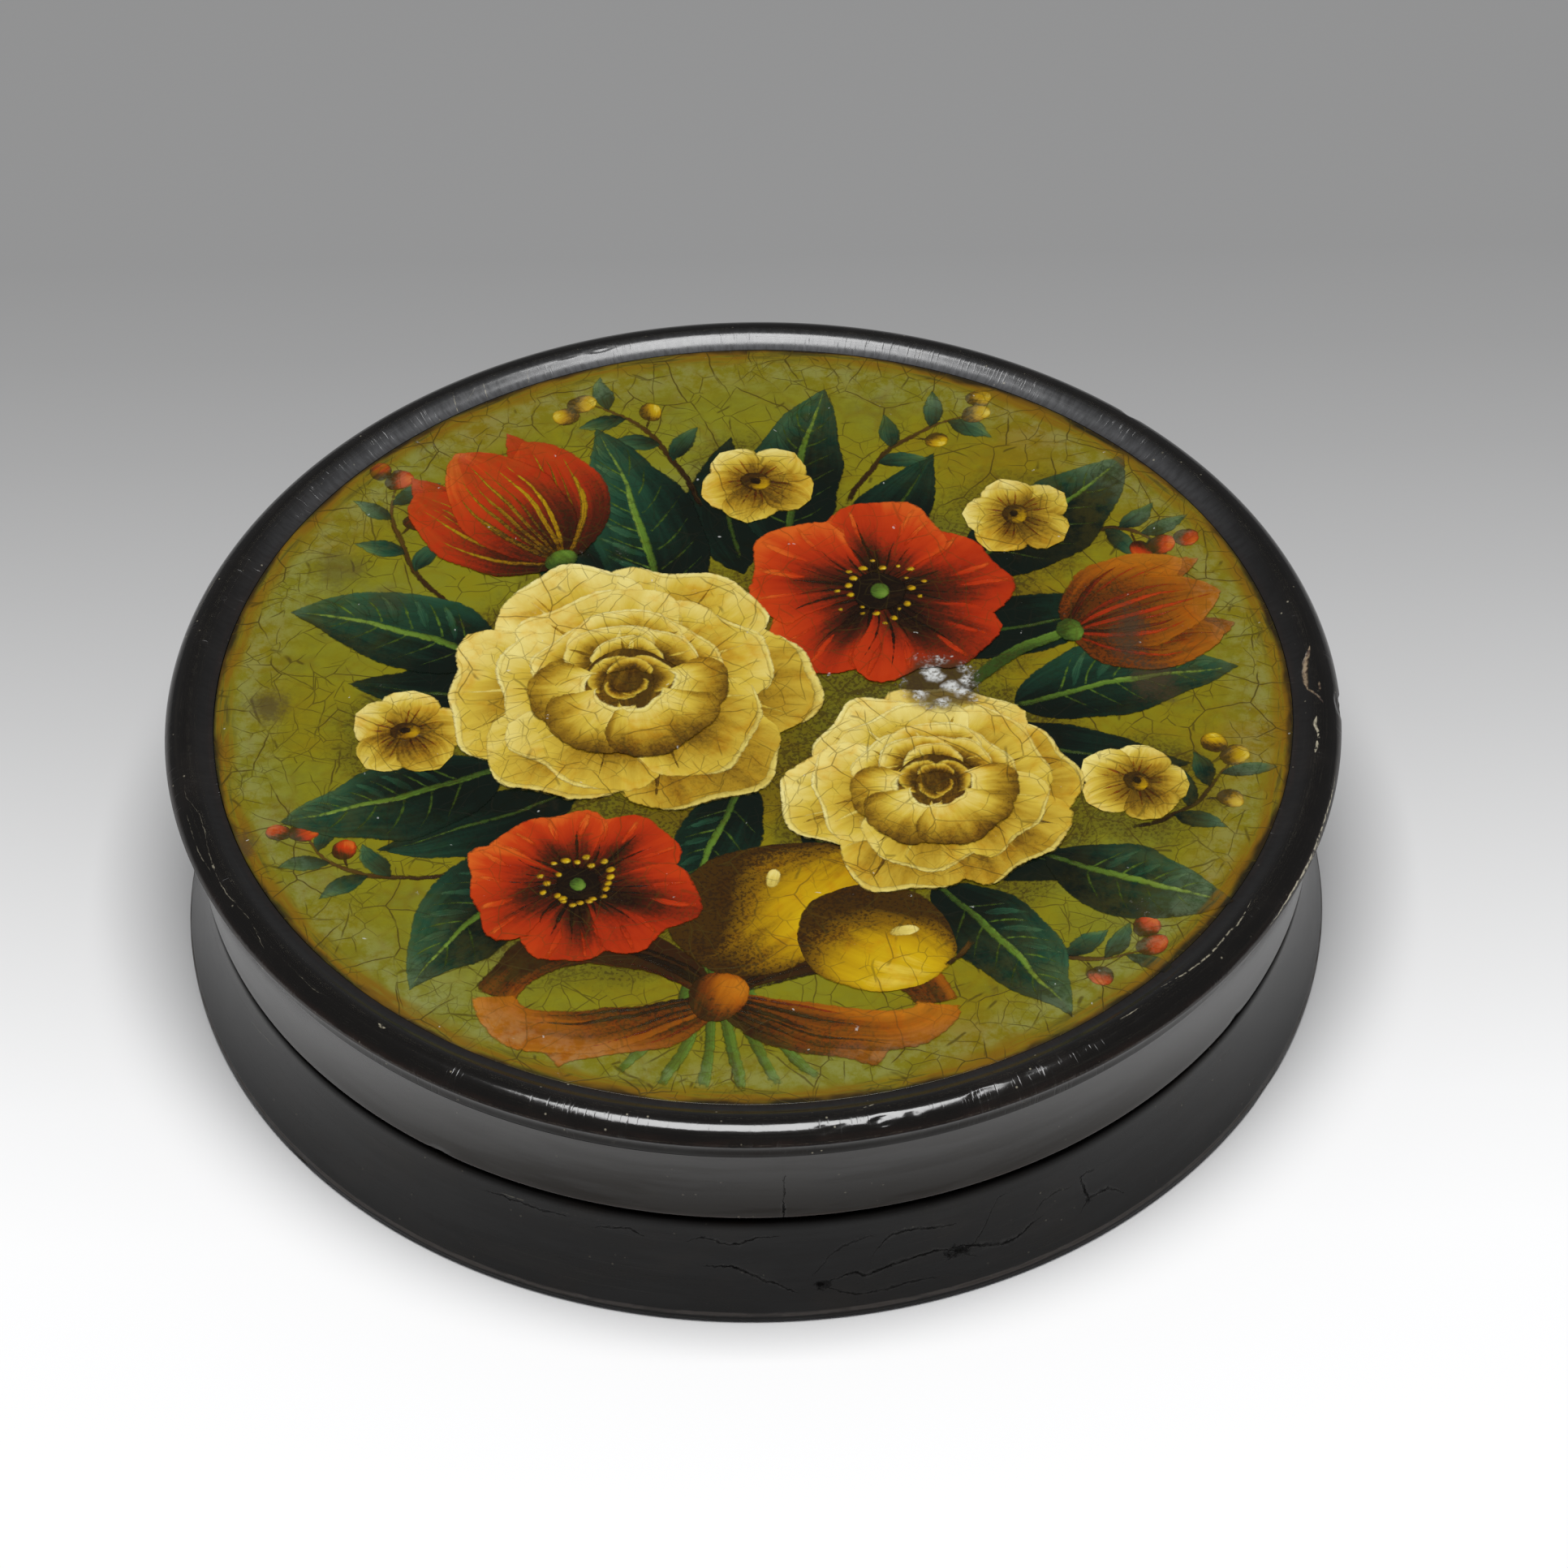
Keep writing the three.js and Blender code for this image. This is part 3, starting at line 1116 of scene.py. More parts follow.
@dataclass(frozen=True)
class Shading:
    """How light a patch of paint is, from its foot to its tip and from side to side."""

    foot: float = 0.3
    tip: float = 0.8
    side: float = 0.0
    rim: float = 0.0
    fold: float = 0.0

    def at(self, across: float, along: float) -> float:
        """Gives the lightness at a point of the patch.

        Args:
            across: from -1 to 1.
            along: from 0 at the foot to 1 at the tip.

        Returns:
            The lightness, about 0 to 1.
        """
        edge = max(abs(across), along) ** 6
        crease = math.exp(-((across - 0.15) * 3.5) ** 2)
        return blend(self.foot, self.tip, along) + self.side * across + self.rim * edge - self.fold * crease


@dataclass(frozen=True)
class RoundShading:
    """How light a round fruit is, lit from the upper left."""

    dark: float = 0.0
    light: float = 0.95
    sun: Vector = Vector((-0.52, 0.58, 0.63))

    def at(self, across: float, along: float) -> float:
        """Gives the lightness at a point of the patch.

        Args:
            across: from -1 to 1.
            along: from 0 to 1.

        Returns:
            The lightness.
        """
        side, up = Dome.round_off(across, along)
        bulge = math.sqrt(max(0.0, 1.0 - side * side - up * up))
        facing = max(0.0, Vector((side, up, bulge)).dot(self.sun))
        return self.dark + (self.light - self.dark) * facing ** 1.3


@dataclass(frozen=True)
class Blade:
    """A leaf-shaped patch along a bent spine."""

    foot: Spot
    heading: float
    length: float
    width: float
    bend: float = 0.0
    belly: float = 0.45
    blunt: float = 1.0
    ruffle: float = 0.0

    def spot(self, across: float, along: float) -> Spot:
        """Gives the place of a point of the patch on the picture.

        Args:
            across: from -1 to 1.
            along: from 0 at the foot to 1 at the tip.

        Returns:
            The place.
        """
        start = math.radians(self.heading - self.bend / 2.0)
        curl = math.radians(self.bend if abs(self.bend) > 0.01 else 0.01) / self.length
        way = start + curl * self.length * along
        x = self.foot[0] + (math.sin(way) - math.sin(start)) / curl
        y = self.foot[1] + (math.cos(start) - math.cos(way)) / curl
        power = math.log(0.5) / math.log(self.belly)
        half = self.width / 2.0 * math.sin(math.pi * min(max(along, 0.0), 1.0) ** power) ** self.blunt
        half *= 1.0 + self.ruffle * math.sin(along * 19.0 + self.heading + across)
        return x - math.sin(way) * half * across, y + math.cos(way) * half * across


@dataclass(frozen=True)
class Fan:
    """A broad petal that spreads from a flower's middle, or a strip of one."""

    centre: Spot
    heading: float
    inner: float
    outer: float
    spread: float
    ruffle: float = 0.03
    phase: float = 0.0
    taper: float = 0.0
    middle: float = 0.0
    half: float = 1.0

    def spot(self, across: float, along: float) -> Spot:
        """Gives the place of a point of the petal on the picture.

        Args:
            across: from -1 to 1.
            along: from 0 at the middle to 1 at the rim.

        Returns:
            The place.
        """
        start = self.inner + (1.0 - self.inner) * self.taper * across ** 4
        share = start + (1.0 - start) * along
        side = self.middle + self.half * across
        wave = math.sin(side * 4.2 + self.phase) + 0.5 * math.sin(side * 9.0 - self.phase)
        reach = self.outer * (1.0 - 0.10 * side ** 2 - 0.16 * side ** 6 + self.ruffle * wave * share)
        way = math.radians(self.heading + self.spread * side * (0.85 + 0.15 * share))
        return self.centre[0] + math.cos(way) * reach * share, self.centre[1] + math.sin(way) * reach * share


@dataclass(frozen=True)
class Trail:
    """A stroke of the brush along a Bezier curve, thinner at its start and end."""

    TANGENT = 0.01
    SWELLING = 0.35
    THINNING = 0.45

    points: tuple[Spot, ...]
    width: float
    start: float = 0.25
    end: float = 0.25

    def spot(self, across: float, along: float) -> Spot:
        """Gives the place of a point of the stroke on the picture.

        Args:
            across: from -1 to 1.
            along: from 0 at the start to 1 at the end.

        Returns:
            The place.
        """
        controls = [Vector((x, y, 0.0)) for x, y in self.points]
        here = on_bezier(controls, along)
        ahead = on_bezier(controls, min(along + self.TANGENT, 1.0))
        ahead -= on_bezier(controls, max(along - self.TANGENT, 0.0))
        side = Vector((-ahead.y, ahead.x, 0.0)).normalized()
        swell = self.start + (1.0 - self.start) * min(1.0, along / self.SWELLING)
        swell *= self.end + (1.0 - self.end) * min(1.0, (1.0 - along) / self.THINNING)
        spot = here + side * across * self.width / 2.0 * swell
        return spot.x, spot.y


@dataclass(frozen=True)
class Dome:
    """A round or pear-shaped patch."""

    centre: Spot
    half_length: float
    half_width: float
    heading: float = 0.0
    pinch: float = 0.0

    @staticmethod
    def round_off(across: float, along: float) -> Spot:
        """Turns a point of a square into a point of a disc."""
        up = 2.0 * along - 1.0
        return across * math.sqrt(1.0 - up * up / 2.0), up * math.sqrt(1.0 - across * across / 2.0)

    def spot(self, across: float, along: float) -> Spot:
        """Gives the place of a point of the patch on the picture.

        Args:
            across: from -1 to 1.
            along: from 0 to 1.

        Returns:
            The place.
        """
        side, up = self.round_off(across, along)
        x = up * self.half_length
        y = side * self.half_width * (1.0 - self.pinch * (up + 0.6 * up * up))
        way = math.radians(self.heading)
        return (
            self.centre[0] + x * math.cos(way) - y * math.sin(way),
            self.centre[1] + x * math.sin(way) + y * math.cos(way),
        )


Shape = Blade | Fan | Trail | Dome
Light = Shading | RoundShading


@dataclass(frozen=True)
class Stroke:
    """A kind of fine stroke that is brushed over a patch of paint.

    Its way goes through the patch's own places, across and along; its lift is from the patch up. A width of
    two values is drawn anew for each stroke.
    """

    way: tuple[Spot, ...]
    light: Shading
    grid: tuple[int, int]
    width: float | Spot
    start: float
    end: float
    lift: float = 0.005
    body: float = 0.003


VEIN = Stroke(
    ((0.04, 0.0), (0.45, 0.05), (0.86, 0.14)), Shading(0.42, 0.06), (2, 6), 0.26, 0.9, 0.15, 0.008, 0.004
)
GLEAM = Stroke(((0.04, 0.06), (0.45, 0.11), (0.86, 0.20)), Shading(0.5, 0.9), (3, 6), 0.9, 0.2, 0.2, 0.007)
RIB = Stroke(
    ((0.0, 0.0), (0.0, 0.33), (0.0, 0.66), (0.0, 0.96)), Shading(0.30, 0.80, 0.2), (3, 14), 0.72, 0.8, 0.1,
    0.010, 0.012,
)
DARK_RIB = Stroke(
    ((0.0, 0.1), (0.0, 0.5), (0.0, 0.92)), Shading(0.0, 0.2), (2, 10), 0.45, 0.8, 0.1, 0.006, 0.004
)
ROSE_FOLD = Stroke(
    ((0.8, 0.15), (1.0, 0.5), (1.15, 0.88)), Shading(-0.25, 0.0), (2, 8), (0.35, 0.7), 0.3, 0.2
)
POPPY_CREASE = Stroke(
    ((1.0, 0.2), (0.9, 0.6), (1.1, 1.0)), Shading(0.0, 0.35), (2, 8), (0.18, 0.40), 1.0, 0.1, 0.006, 0.002
)
POPPY_FOLD = Stroke(
    ((0.95, 0.55), (1.0, 0.75), (1.1, 0.96)), Shading(0.55, 0.95), (3, 6), (0.4, 0.9), 0.2, 0.5
)
BLOSSOM_LINE = Stroke(
    ((0.5, 0.1), (0.9, 0.4), (1.0, 0.62)), Shading(0.1, 0.5), (2, 5), 0.22, 0.9, 0.1, 0.006, 0.002
)
TULIP_FLAME = Stroke(
    ((0.5, 0.06), (1.0, 0.5), (0.85, 1.0)), Shading(-0.15, 0.15), (2, 8), (0.3, 0.75), 0.9, 0.1
)
RIBBON_CREASE = Stroke(
    ((1.0, 0.02), (1.0, 0.35), (1.0, 0.7), (1.0, 1.0)), Shading(0.1, 0.5), (2, 10), (0.3, 0.6), 1.0, 0.1,
    0.006, 0.002,
)


class PaintLayer:
    """The strokes of one pigment in one motif, gathered in one mesh that lies on the ground."""

    SWAY = 0.40
    SWAY_SCALE = 0.28
    ROOT = 0.03

    def __init__(self, ground: float) -> None:
        """Starts the layer.

        Args:
            ground: height of the painted ground.
        """
        self.ground = ground
        self.mesh = bmesh.new()
        names = ("across", "along", "tone", "seed", "edge")
        layers = (self.mesh.verts.layers.float.new(name) for name in names)
        self.across, self.along, self.tone, self.seed, self.edge = layers

    def lay(
        self, shape: Shape, light: Light, tint: Callable[[float, float], float], lift: float, body: float,
        grid: tuple[int, int], seed: float,
    ) -> None:
        """Lays one patch of paint, thick in the middle and thin at its edge.

        Args:
            shape: its outline.
            light: its lightness.
            tint: what the place on the picture adds to the lightness.
            lift: height of its edge above the ground.
            body: how much thicker its middle is.
            grid: how many faces lie across and along it.
            seed: tells its bristle marks from its neighbours'.
        """
        made = bmesh.ops.create_grid(self.mesh, x_segments=grid[0], y_segments=grid[1], size=1.0)
        verts = made["verts"]
        for vert in verts:
            across, along = vert.co.x, (vert.co.y + 1.0) / 2.0
            spot = Vector((*shape.spot(across, along), 0.0))
            border = ((math.copysign(1.0, across), along), (across, 0.0), (across, 1.0))
            vert[self.edge] = min(math.dist(spot.xy, shape.spot(*end)) for end in border)
            spot += noise.noise_vector(spot * self.SWAY_SCALE) * self.SWAY
            swell = (1.0 - across ** 4) * (1.0 - (2.0 * along - 1.0) ** 8)
            vert[self.across] = across
            vert[self.along] = along
            vert[self.tone] = light.at(across, along) + tint(spot.x, spot.y)
            vert[self.seed] = seed
            vert.co = (spot.x, spot.y, self.ground + lift + body * swell)
        faces = list(dict.fromkeys(face for vert in verts for face in vert.link_faces))
        under = bmesh.ops.extrude_face_region(self.mesh, geom=faces)["geom"]
        foot = [vert for vert in under if isinstance(vert, bmesh.types.BMVert)]
        for vert in foot:
            vert.co.z = self.ground - self.ROOT
        bmesh.ops.remove_doubles(self.mesh, verts=verts + foot, dist=MERGE_GAP)

    def finish(self, name: str) -> bpy.types.Object:
        """Closes the layer into an object."""
        bmesh.ops.recalc_face_normals(self.mesh, faces=self.mesh.faces[:])
        return finish_mesh(name, self.mesh)


class Flower(Enum):
    """The kinds of open flower in the posy."""

    ROSE = "rose"
    POPPY = "poppy"
    BLOSSOM = "blossom"


ROSE, POPPY, BLOSSOM = Flower


@dataclass(frozen=True)
class Bloom:
    """An open flower: its kind, middle, radius and how far it is turned."""

    kind: Flower
    x: float
    y: float
    size: float
    turn: float
    sun: Vector = Vector((-0.55, 0.83))
    roundness: float = 0.24
    shadow_reach: float = 2.8

    def spot(self, right: float, up: float) -> Spot:
        """Gives a place in or near the flower, in shares of its radius from its middle."""
        return self.x + right * self.size, self.y + up * self.size

    def glow(self, x: float, y: float) -> float:
        """Gives how much lighter or darker a place is because the flower is round."""
        away = Vector((x - self.x, y - self.y)) / self.size
        return self.roundness * away.dot(self.sun)

    def shadow(self, x: float, y: float) -> float:
        """Gives how deep a place on the picture lies in the flower's shadow, from 0 to 1."""
        away = math.hypot(x - self.x - 0.7, y - self.y + 0.9) - self.size * 0.96
        return math.exp(-(max(away, 0.0) / self.shadow_reach) ** 2)


@dataclass
class Posy:
    """A painted posy of roses, poppies, tulips, fruit and leaves, tied with a ribbon."""

    blooms: tuple[Bloom, ...] = (
        Bloom(BLOSSOM, -28.0, -2.0, 5.0, 10.0),
        Bloom(BLOSSOM, 22.0, 22.5, 4.8, 30.0),
        Bloom(BLOSSOM, 0.5, 27.0, 5.0, 50.0),
        Bloom(BLOSSOM, 30.5, -9.0, 4.6, 0.0),
        Bloom(POPPY, 10.5, 13.5, 11.0, 15.0),
        Bloom(POPPY, -14.0, -19.5, 9.0, 40.0),
        Bloom(ROSE, 14.5, -9.5, 12.0, 14.0),
        Bloom(ROSE, -10.0, 2.5, 14.5, 0.0),
    )
    knot: Spot = (-3.0, -32.0)
    step: float = 0.008
    under_lift: float = 0.006
    sprig_lift: float = 0.010
    leaf_lift: float = 0.022
    stem_lift: float = 0.05
    ribbon_lift: float = 0.058
    tulip_stem_lift: float = 0.07
    tulip_lift: float = 0.085
    blossom_lift: float = 0.09
    poppy_lift: float = 0.11
    rose_lift: float = 0.17
    sway_seed: int = 7
    draw: random.Random = field(default_factory=lambda: random.Random(7))
    layers: dict[Pigment, PaintLayer] = field(default_factory=dict)
    finishes: dict[Pigment, bpy.types.Material] = field(default_factory=dict)
    ground: float = 0.0

    def build(self) -> None:
        """Paints the posy from the back forwards."""
        self.ground = node_corners("painted_ground")[1].z
        noise.seed_set(self.sway_seed)
        stages = {
            "under_leaves": self.paint_under_leaves,
            "sprigs": self.paint_sprigs,
            "leaves": self.paint_leaves,
            "ribbon": self.paint_ribbon,
            "fruit": self.paint_fruit,
            "tulips": self.paint_tulips,
        }
        for name, paint in stages.items():
            paint()
            self.hang(name)
        painters = {ROSE: self.paint_rose, POPPY: self.paint_poppy, BLOSSOM: self.paint_blossom}
        for number, bloom in enumerate(self.blooms):
            painters[bloom.kind](bloom)
            self.hang(f"{bloom.kind.value}_{number}")

    def hang(self, name: str) -> None:
        """Closes the layers of a motif and joins them to the lid.

        Args:
            name: the motif.
        """
        for pigment, layer in self.layers.items():
            if pigment not in self.finishes:
                self.finishes[pigment] = PAINTS[pigment].make(f"paint_{pigment.value}")
            fit(layer.finish(f"{name}_{pigment.value}"), BODY_LID, "painted_picture", self.finishes[pigment])
        self.layers.clear()

    def lay(
        self, pigment: Pigment, shape: Shape, light: Light, lift: float, body: float = 0.006,
        grid: tuple[int, int] = (8, 12), bloom: Bloom | None = None,
    ) -> None:
        """Lays a patch in a pigment's layer.

        Args:
            pigment: the paint.
            shape: the patch's outline.
            light: its lightness.
            lift: height of its edge above the ground.
            body: how much thicker its middle is.
            grid: how many faces lie across and along it.
            bloom: the flower that it belongs to, if any.
        """
        if pigment not in self.layers:
            self.layers[pigment] = PaintLayer(self.ground)
        tint = bloom.glow if bloom else self.dim
        self.layers[pigment].lay(shape, light, tint, lift, body, grid, self.draw.random())

    def brush(
        self, pigment: Pigment, stroke: Stroke, patch: Shape, lift: float, swing: float = 1.0,
        start: float = 0.0, length: float = 1.0, tone: float = 0.0, bloom: Bloom | None = None,
    ) -> None:
        """Brushes a fine stroke over a patch.

        Args:
            pigment: the paint.
            stroke: the kind of stroke.
            patch: what it is brushed over.
            lift: the patch's height above the ground.
            swing: scale of its way across the patch.
            start: where along the patch it starts.
            length: scale of its way along the patch.
            tone: how much lighter it is.
            bloom: the flower that it belongs to, if any.
        """
        way = tuple(patch.spot(swing * across, start + length * along) for across, along in stroke.way)
        width = self.draw.uniform(*stroke.width) if isinstance(stroke.width, tuple) else stroke.width
        light = replace(stroke.light, foot=stroke.light.foot + tone, tip=stroke.light.tip + tone)
        trail = Trail(way, width, stroke.start, stroke.end)
        self.lay(pigment, trail, light, lift + stroke.lift, stroke.body, stroke.grid, bloom)

    def dim(self, x: float, y: float) -> float:
        """Gives how much darker a place is in the shadow of the flowers."""
        return -0.30 * max(bloom.shadow(x, y) for bloom in self.blooms)

    def gloom(self, x: float, y: float) -> float:
        """Gives how dark the ground is glazed behind the posy, from 0 to 1."""
        behind = math.exp(-(math.hypot((x - 1.0) / 29.0, (y + 1.0) / 31.0)) ** 4)
        return min(1.0, 0.30 * behind + 0.7 * max(bloom.shadow(x, y) for bloom in self.blooms))

    def sunlit(self, heading: float) -> float:
        """Gives how far a heading points to the light, from -1 to 1."""
        way = math.radians(heading)
        return Vector((math.cos(way), math.sin(way))).dot(self.blooms[0].sun)

    def paint_leaf(self, leaf: Blade, lift: float) -> None:
        """Paints a leaf with its rib, veins and a few lights.

        Args:
            leaf: its outline.
            lift: height above the ground.
        """
        lit = 1.0 if self.sunlit(leaf.heading + 90.0) > 0.0 else -1.0
        self.lay(TEAL, leaf, Shading(0.16, 0.60, 0.24 * lit, 0.05, 0.06), lift, grid=(10, 20))
        count = max(3, int(leaf.length / 3.4))
        for number in range(1, count + 1):
            share = 0.08 + 0.70 * number / (count + 0.5)
            for side in (-1.0, 1.0):
                self.brush(LEAF, VEIN, leaf, lift, side, share, tone=0.10 * side * lit)
                if side == lit:
                    self.brush(TEAL, GLEAM, leaf, lift, side, share)
        self.brush(LEAF, RIB, leaf, lift)

    def paint_leaves(self) -> None:
        """Paints the leaves that stand out behind the flowers."""
        leaves = (
            ((-7.0, 10.0), 104.0, 25.0, 9.5, 26.0), ((3.0, 18.0), 80.0, 21.0, 8.5, -22.0),
            ((17.0, 16.0), 44.0, 20.0, 9.0, 24.0), ((21.0, 0.0), 12.0, 19.0, 8.5, -26.0),
            ((23.0, -17.0), -20.0, 16.0, 8.0, 22.0), ((14.0, -20.0), -55.0, 18.0, 8.0, -24.0),
            ((-15.0, -15.0), 232.0, 20.0, 9.5, 24.0), ((-20.0, -6.0), 198.0, 19.0, 9.0, -22.0),
            ((-20.0, 6.0), 160.0, 19.0, 9.0, 24.0), ((-1.0, -8.0), 250.0, 15.0, 7.0, -14.0),
        )
        for number, (foot, heading, length, width, bend) in enumerate(leaves):
            leaf = Blade(foot, heading, length, width, bend, 0.42, 0.9, 0.03)
            self.paint_leaf(leaf, self.leaf_lift + 0.003 * number)

    def paint_under_leaves(self) -> None:
        """Paints the dark leaves deepest in the posy."""
        leaves = (
            (130.0, 13.0, 17.0), (62.0, 16.0, 18.0), (28.0, 14.0, 22.0), (-10.0, 16.0, 20.0),
            (-38.0, 16.0, 18.0), (-75.0, 14.0, 16.0), (212.0, 16.0, 18.0), (178.0, 16.0, 17.0),
            (92.0, 16.0, 17.0),
        )
        for heading, away, length in leaves:
            foot = onward((0.0, 0.0), math.radians(heading), away)
            heading += self.draw.uniform(-14.0, 14.0)
            leaf = Blade(foot, heading, length, 7.0, self.draw.uniform(-30.0, 30.0))
            self.lay(TEAL, leaf, Shading(0.05, 0.34, 0.12), self.under_lift, grid=(8, 14))
            self.brush(LEAF, DARK_RIB, leaf, self.under_lift)

    def paint_petal(self, fan: Fan, light: Shading, lift: float, bloom: Bloom) -> None:
        """Paints a rose petal with soft folds and broken pale lips.

        Args:
            fan: its outline.
            light: its lightness.
            lift: height above the ground.
            bloom: the rose.
        """
        self.lay(CREAM, fan, light, lift, grid=(14, 12), bloom=bloom)
        for tone in (0.80, 0.28):
            self.brush(CREAM, ROSE_FOLD, fan, lift, self.draw.uniform(-0.7, 0.7), tone=tone, bloom=bloom)
        middle = self.draw.uniform(-0.25, 0.25)
        half = self.draw.uniform(0.5, 0.72)
        lip = replace(fan, inner=0.95, taper=0.9, middle=middle, half=half)
        self.lay(WHITE, lip, Shading(0.30, 0.80), lift + 0.006, 0.010, (16, 2), bloom)

    def paint_rose(self, bloom: Bloom) -> None:
        """Paints a cabbage rose: two whorls of broad petals, and a cup with its coiled heart.

        Args:
            bloom: the rose.
        """
        size, lift = bloom.size, self.rose_lift
        cup = bloom.spot(0.0, 0.05)
        for fan, light in self.rose_petals(bloom, cup):
            self.paint_petal(fan, light, lift, bloom)
            lift += self.step
        heart = Dome(cup, size * 0.27, size * 0.27, 90.0)
        self.lay(CREAM, heart, Shading(0.14, -0.05), lift, grid=(8, 8), bloom=bloom)
        lift += self.step
        for heading, outer in ((28.0, 0.25), (152.0, 0.25), (90.0, 0.19), (240.0, 0.15), (320.0, 0.12)):
            fan = Fan(cup, heading, 0.52, size * outer, 62.0, 0.03, heading, 0.75)
            self.lay(CREAM, fan, Shading(-0.05, 0.62, 0.0, 0.12), lift, grid=(12, 5), bloom=bloom)
            lift += self.step
        front = (
            (196.0, 0.57, 0.46, 42.0), (344.0, 0.57, 0.46, 42.0),
            (240.0, 0.60, 0.38, 46.0), (299.0, 0.61, 0.38, 48.0),
        )
        for heading, outer, inner, spread in front:
            fan = Fan(cup, heading, inner, size * outer, spread, 0.03, heading)
            self.lay(CREAM, fan, Shading(0.90, 0.34, 0.08, -0.14, 0.06), lift, grid=(14, 10), bloom=bloom)
            lip = Fan(cup, heading, 0.84, size * outer * inner * 1.12, spread * 0.9, 0.03, heading, 0.85)
            self.lay(WHITE, lip, Shading(0.9, 0.4), lift + 0.006, 0.010, (14, 2), bloom)
            lift += self.step

    def rose_petals(self, bloom: Bloom, cup: Spot) -> list[tuple[Fan, Shading]]:
        """Shapes the petals round a rose's cup and those at the back of it.

        Args:
            bloom: the rose.
            cup: the cup's middle.

        Returns:
            Each petal's outline and lightness, from the back forwards.
        """
        petals: list[tuple[Fan, Shading]] = []
        whorls = ((6, 0.30, 1.00, 40.0, 0.06, 0.70, 0.0), (5, 0.22, 0.80, 47.0, 0.02, 0.76, 31.0))
        for count, inner, outer, spread, foot, tip, turn in whorls:
            for petal in range(count):
                heading = bloom.turn + turn + 360.0 * petal / count + self.draw.uniform(-7.0, 7.0)
                reach = bloom.size * outer * self.draw.uniform(0.93, 1.05)
                phase = self.draw.uniform(0.0, 6.0)
                fan = Fan(bloom.spot(0.0, 0.0), heading, inner, reach, spread, 0.045, phase)
                petals.append((fan, Shading(foot, tip, self.draw.uniform(-0.10, 0.10), 0.08, 0.10)))
        back = ((35.0, 0.56), (145.0, 0.56), (90.0, 0.57), (60.0, 0.46), (120.0, 0.46), (90.0, 0.36))
        for heading, outer in back:
            swung = heading + self.draw.uniform(-5.0, 5.0)
            fan = Fan(cup, swung, 0.58, bloom.size * outer, 52.0, 0.03, heading, 0.7)
            petals.append((fan, Shading(0.0, 0.74, 0.0, 0.10)))
        return petals

    def paint_poppy(self, bloom: Bloom) -> None:
        """Paints a poppy with dark creases, light folds and a ring of stamens.

        Args:
            bloom: the poppy.
        """
        middle, size, lift = bloom.spot(0.0, 0.0), bloom.size, self.poppy_lift
        for step in (0, 3, 1, 4, 2):
            heading = bloom.turn + 72.0 * step + self.draw.uniform(-6.0, 6.0)
            reach = size * self.draw.uniform(0.92, 1.06)
            fan = Fan(middle, heading, 0.05, reach, 48.0, 0.06, self.draw.uniform(0.0, 6.0))
            light = Shading(0.0, 0.70, self.draw.uniform(-0.12, 0.12), 0.10, 0.16)
            self.lay(VERMILION, fan, light, lift, grid=(16, 14), bloom=bloom)
            for crease in range(7):
                swing = -0.85 + 0.28 * crease + self.draw.uniform(-0.1, 0.1)
                length = self.draw.uniform(0.40, 0.85)
                self.brush(UMBER, POPPY_CREASE, fan, lift, swing, length=length, bloom=bloom)
            for fold in range(4):
                swing = -0.6 + 0.4 * fold + self.draw.uniform(-0.12, 0.12)
                self.brush(VERMILION, POPPY_FOLD, fan, lift, swing, bloom=bloom)
            lift += self.step + 0.002
        eye = Dome(middle, size * 0.21, size * 0.20)
        self.lay(UMBER, eye, RoundShading(0.0, 0.4), lift, 0.01, (9, 9))
        stamens = 22
        for stamen in range(stamens):
            way = FULL_TURN * stamen / stamens + self.draw.uniform(-0.1, 0.1)
            away = self.draw.uniform(0.20, 0.36)
            spot = bloom.spot(math.cos(way) * away, math.sin(way) * away)
            size = self.draw.uniform(0.22, 0.42)
            dot = Dome(spot, size, size * 0.9)
            self.lay(GOLD, dot, RoundShading(0.3, 1.0), lift + 0.006, 0.03, (4, 4), bloom)
        pod = Dome(middle, bloom.size * 0.08, bloom.size * 0.08)
        self.lay(LEAF, pod, RoundShading(0.1, 0.7), lift + 0.02, 0.02, (5, 5), bloom)

    def paint_blossom(self, bloom: Bloom) -> None:
        """Paints a small five-petalled blossom.

        Args:
            bloom: the blossom.
        """
        middle, size = bloom.spot(0.0, 0.0), bloom.size
        for petal in range(5):
            heading = bloom.turn + 72.0 * petal + self.draw.uniform(-6.0, 6.0)
            lift = self.blossom_lift + self.step * petal
            shape = Blade(middle, heading, size * self.draw.uniform(0.92, 1.05), size * 0.98, 0.0, 0.60, 0.6)
            self.lay(CREAM, shape, Shading(0.10, 0.80, 0.06, 0.06, 0.10), lift, grid=(8, 8), bloom=bloom)
            for side in (-0.35, 0.05, 0.4):
                self.brush(ORANGE, BLOSSOM_LINE, shape, lift, side, bloom=bloom)
        lift = self.blossom_lift + 5.0 * self.step
        eye = Dome(middle, size * 0.25, size * 0.23)
        self.lay(GOLD, eye, RoundShading(0.1, 0.9), lift, 0.02, (6, 6))
        pupil = Dome(middle, size * 0.09, size * 0.09)
        self.lay(UMBER, pupil, Shading(0.2, 0.5), lift + 0.022, 0.004, (4, 4))

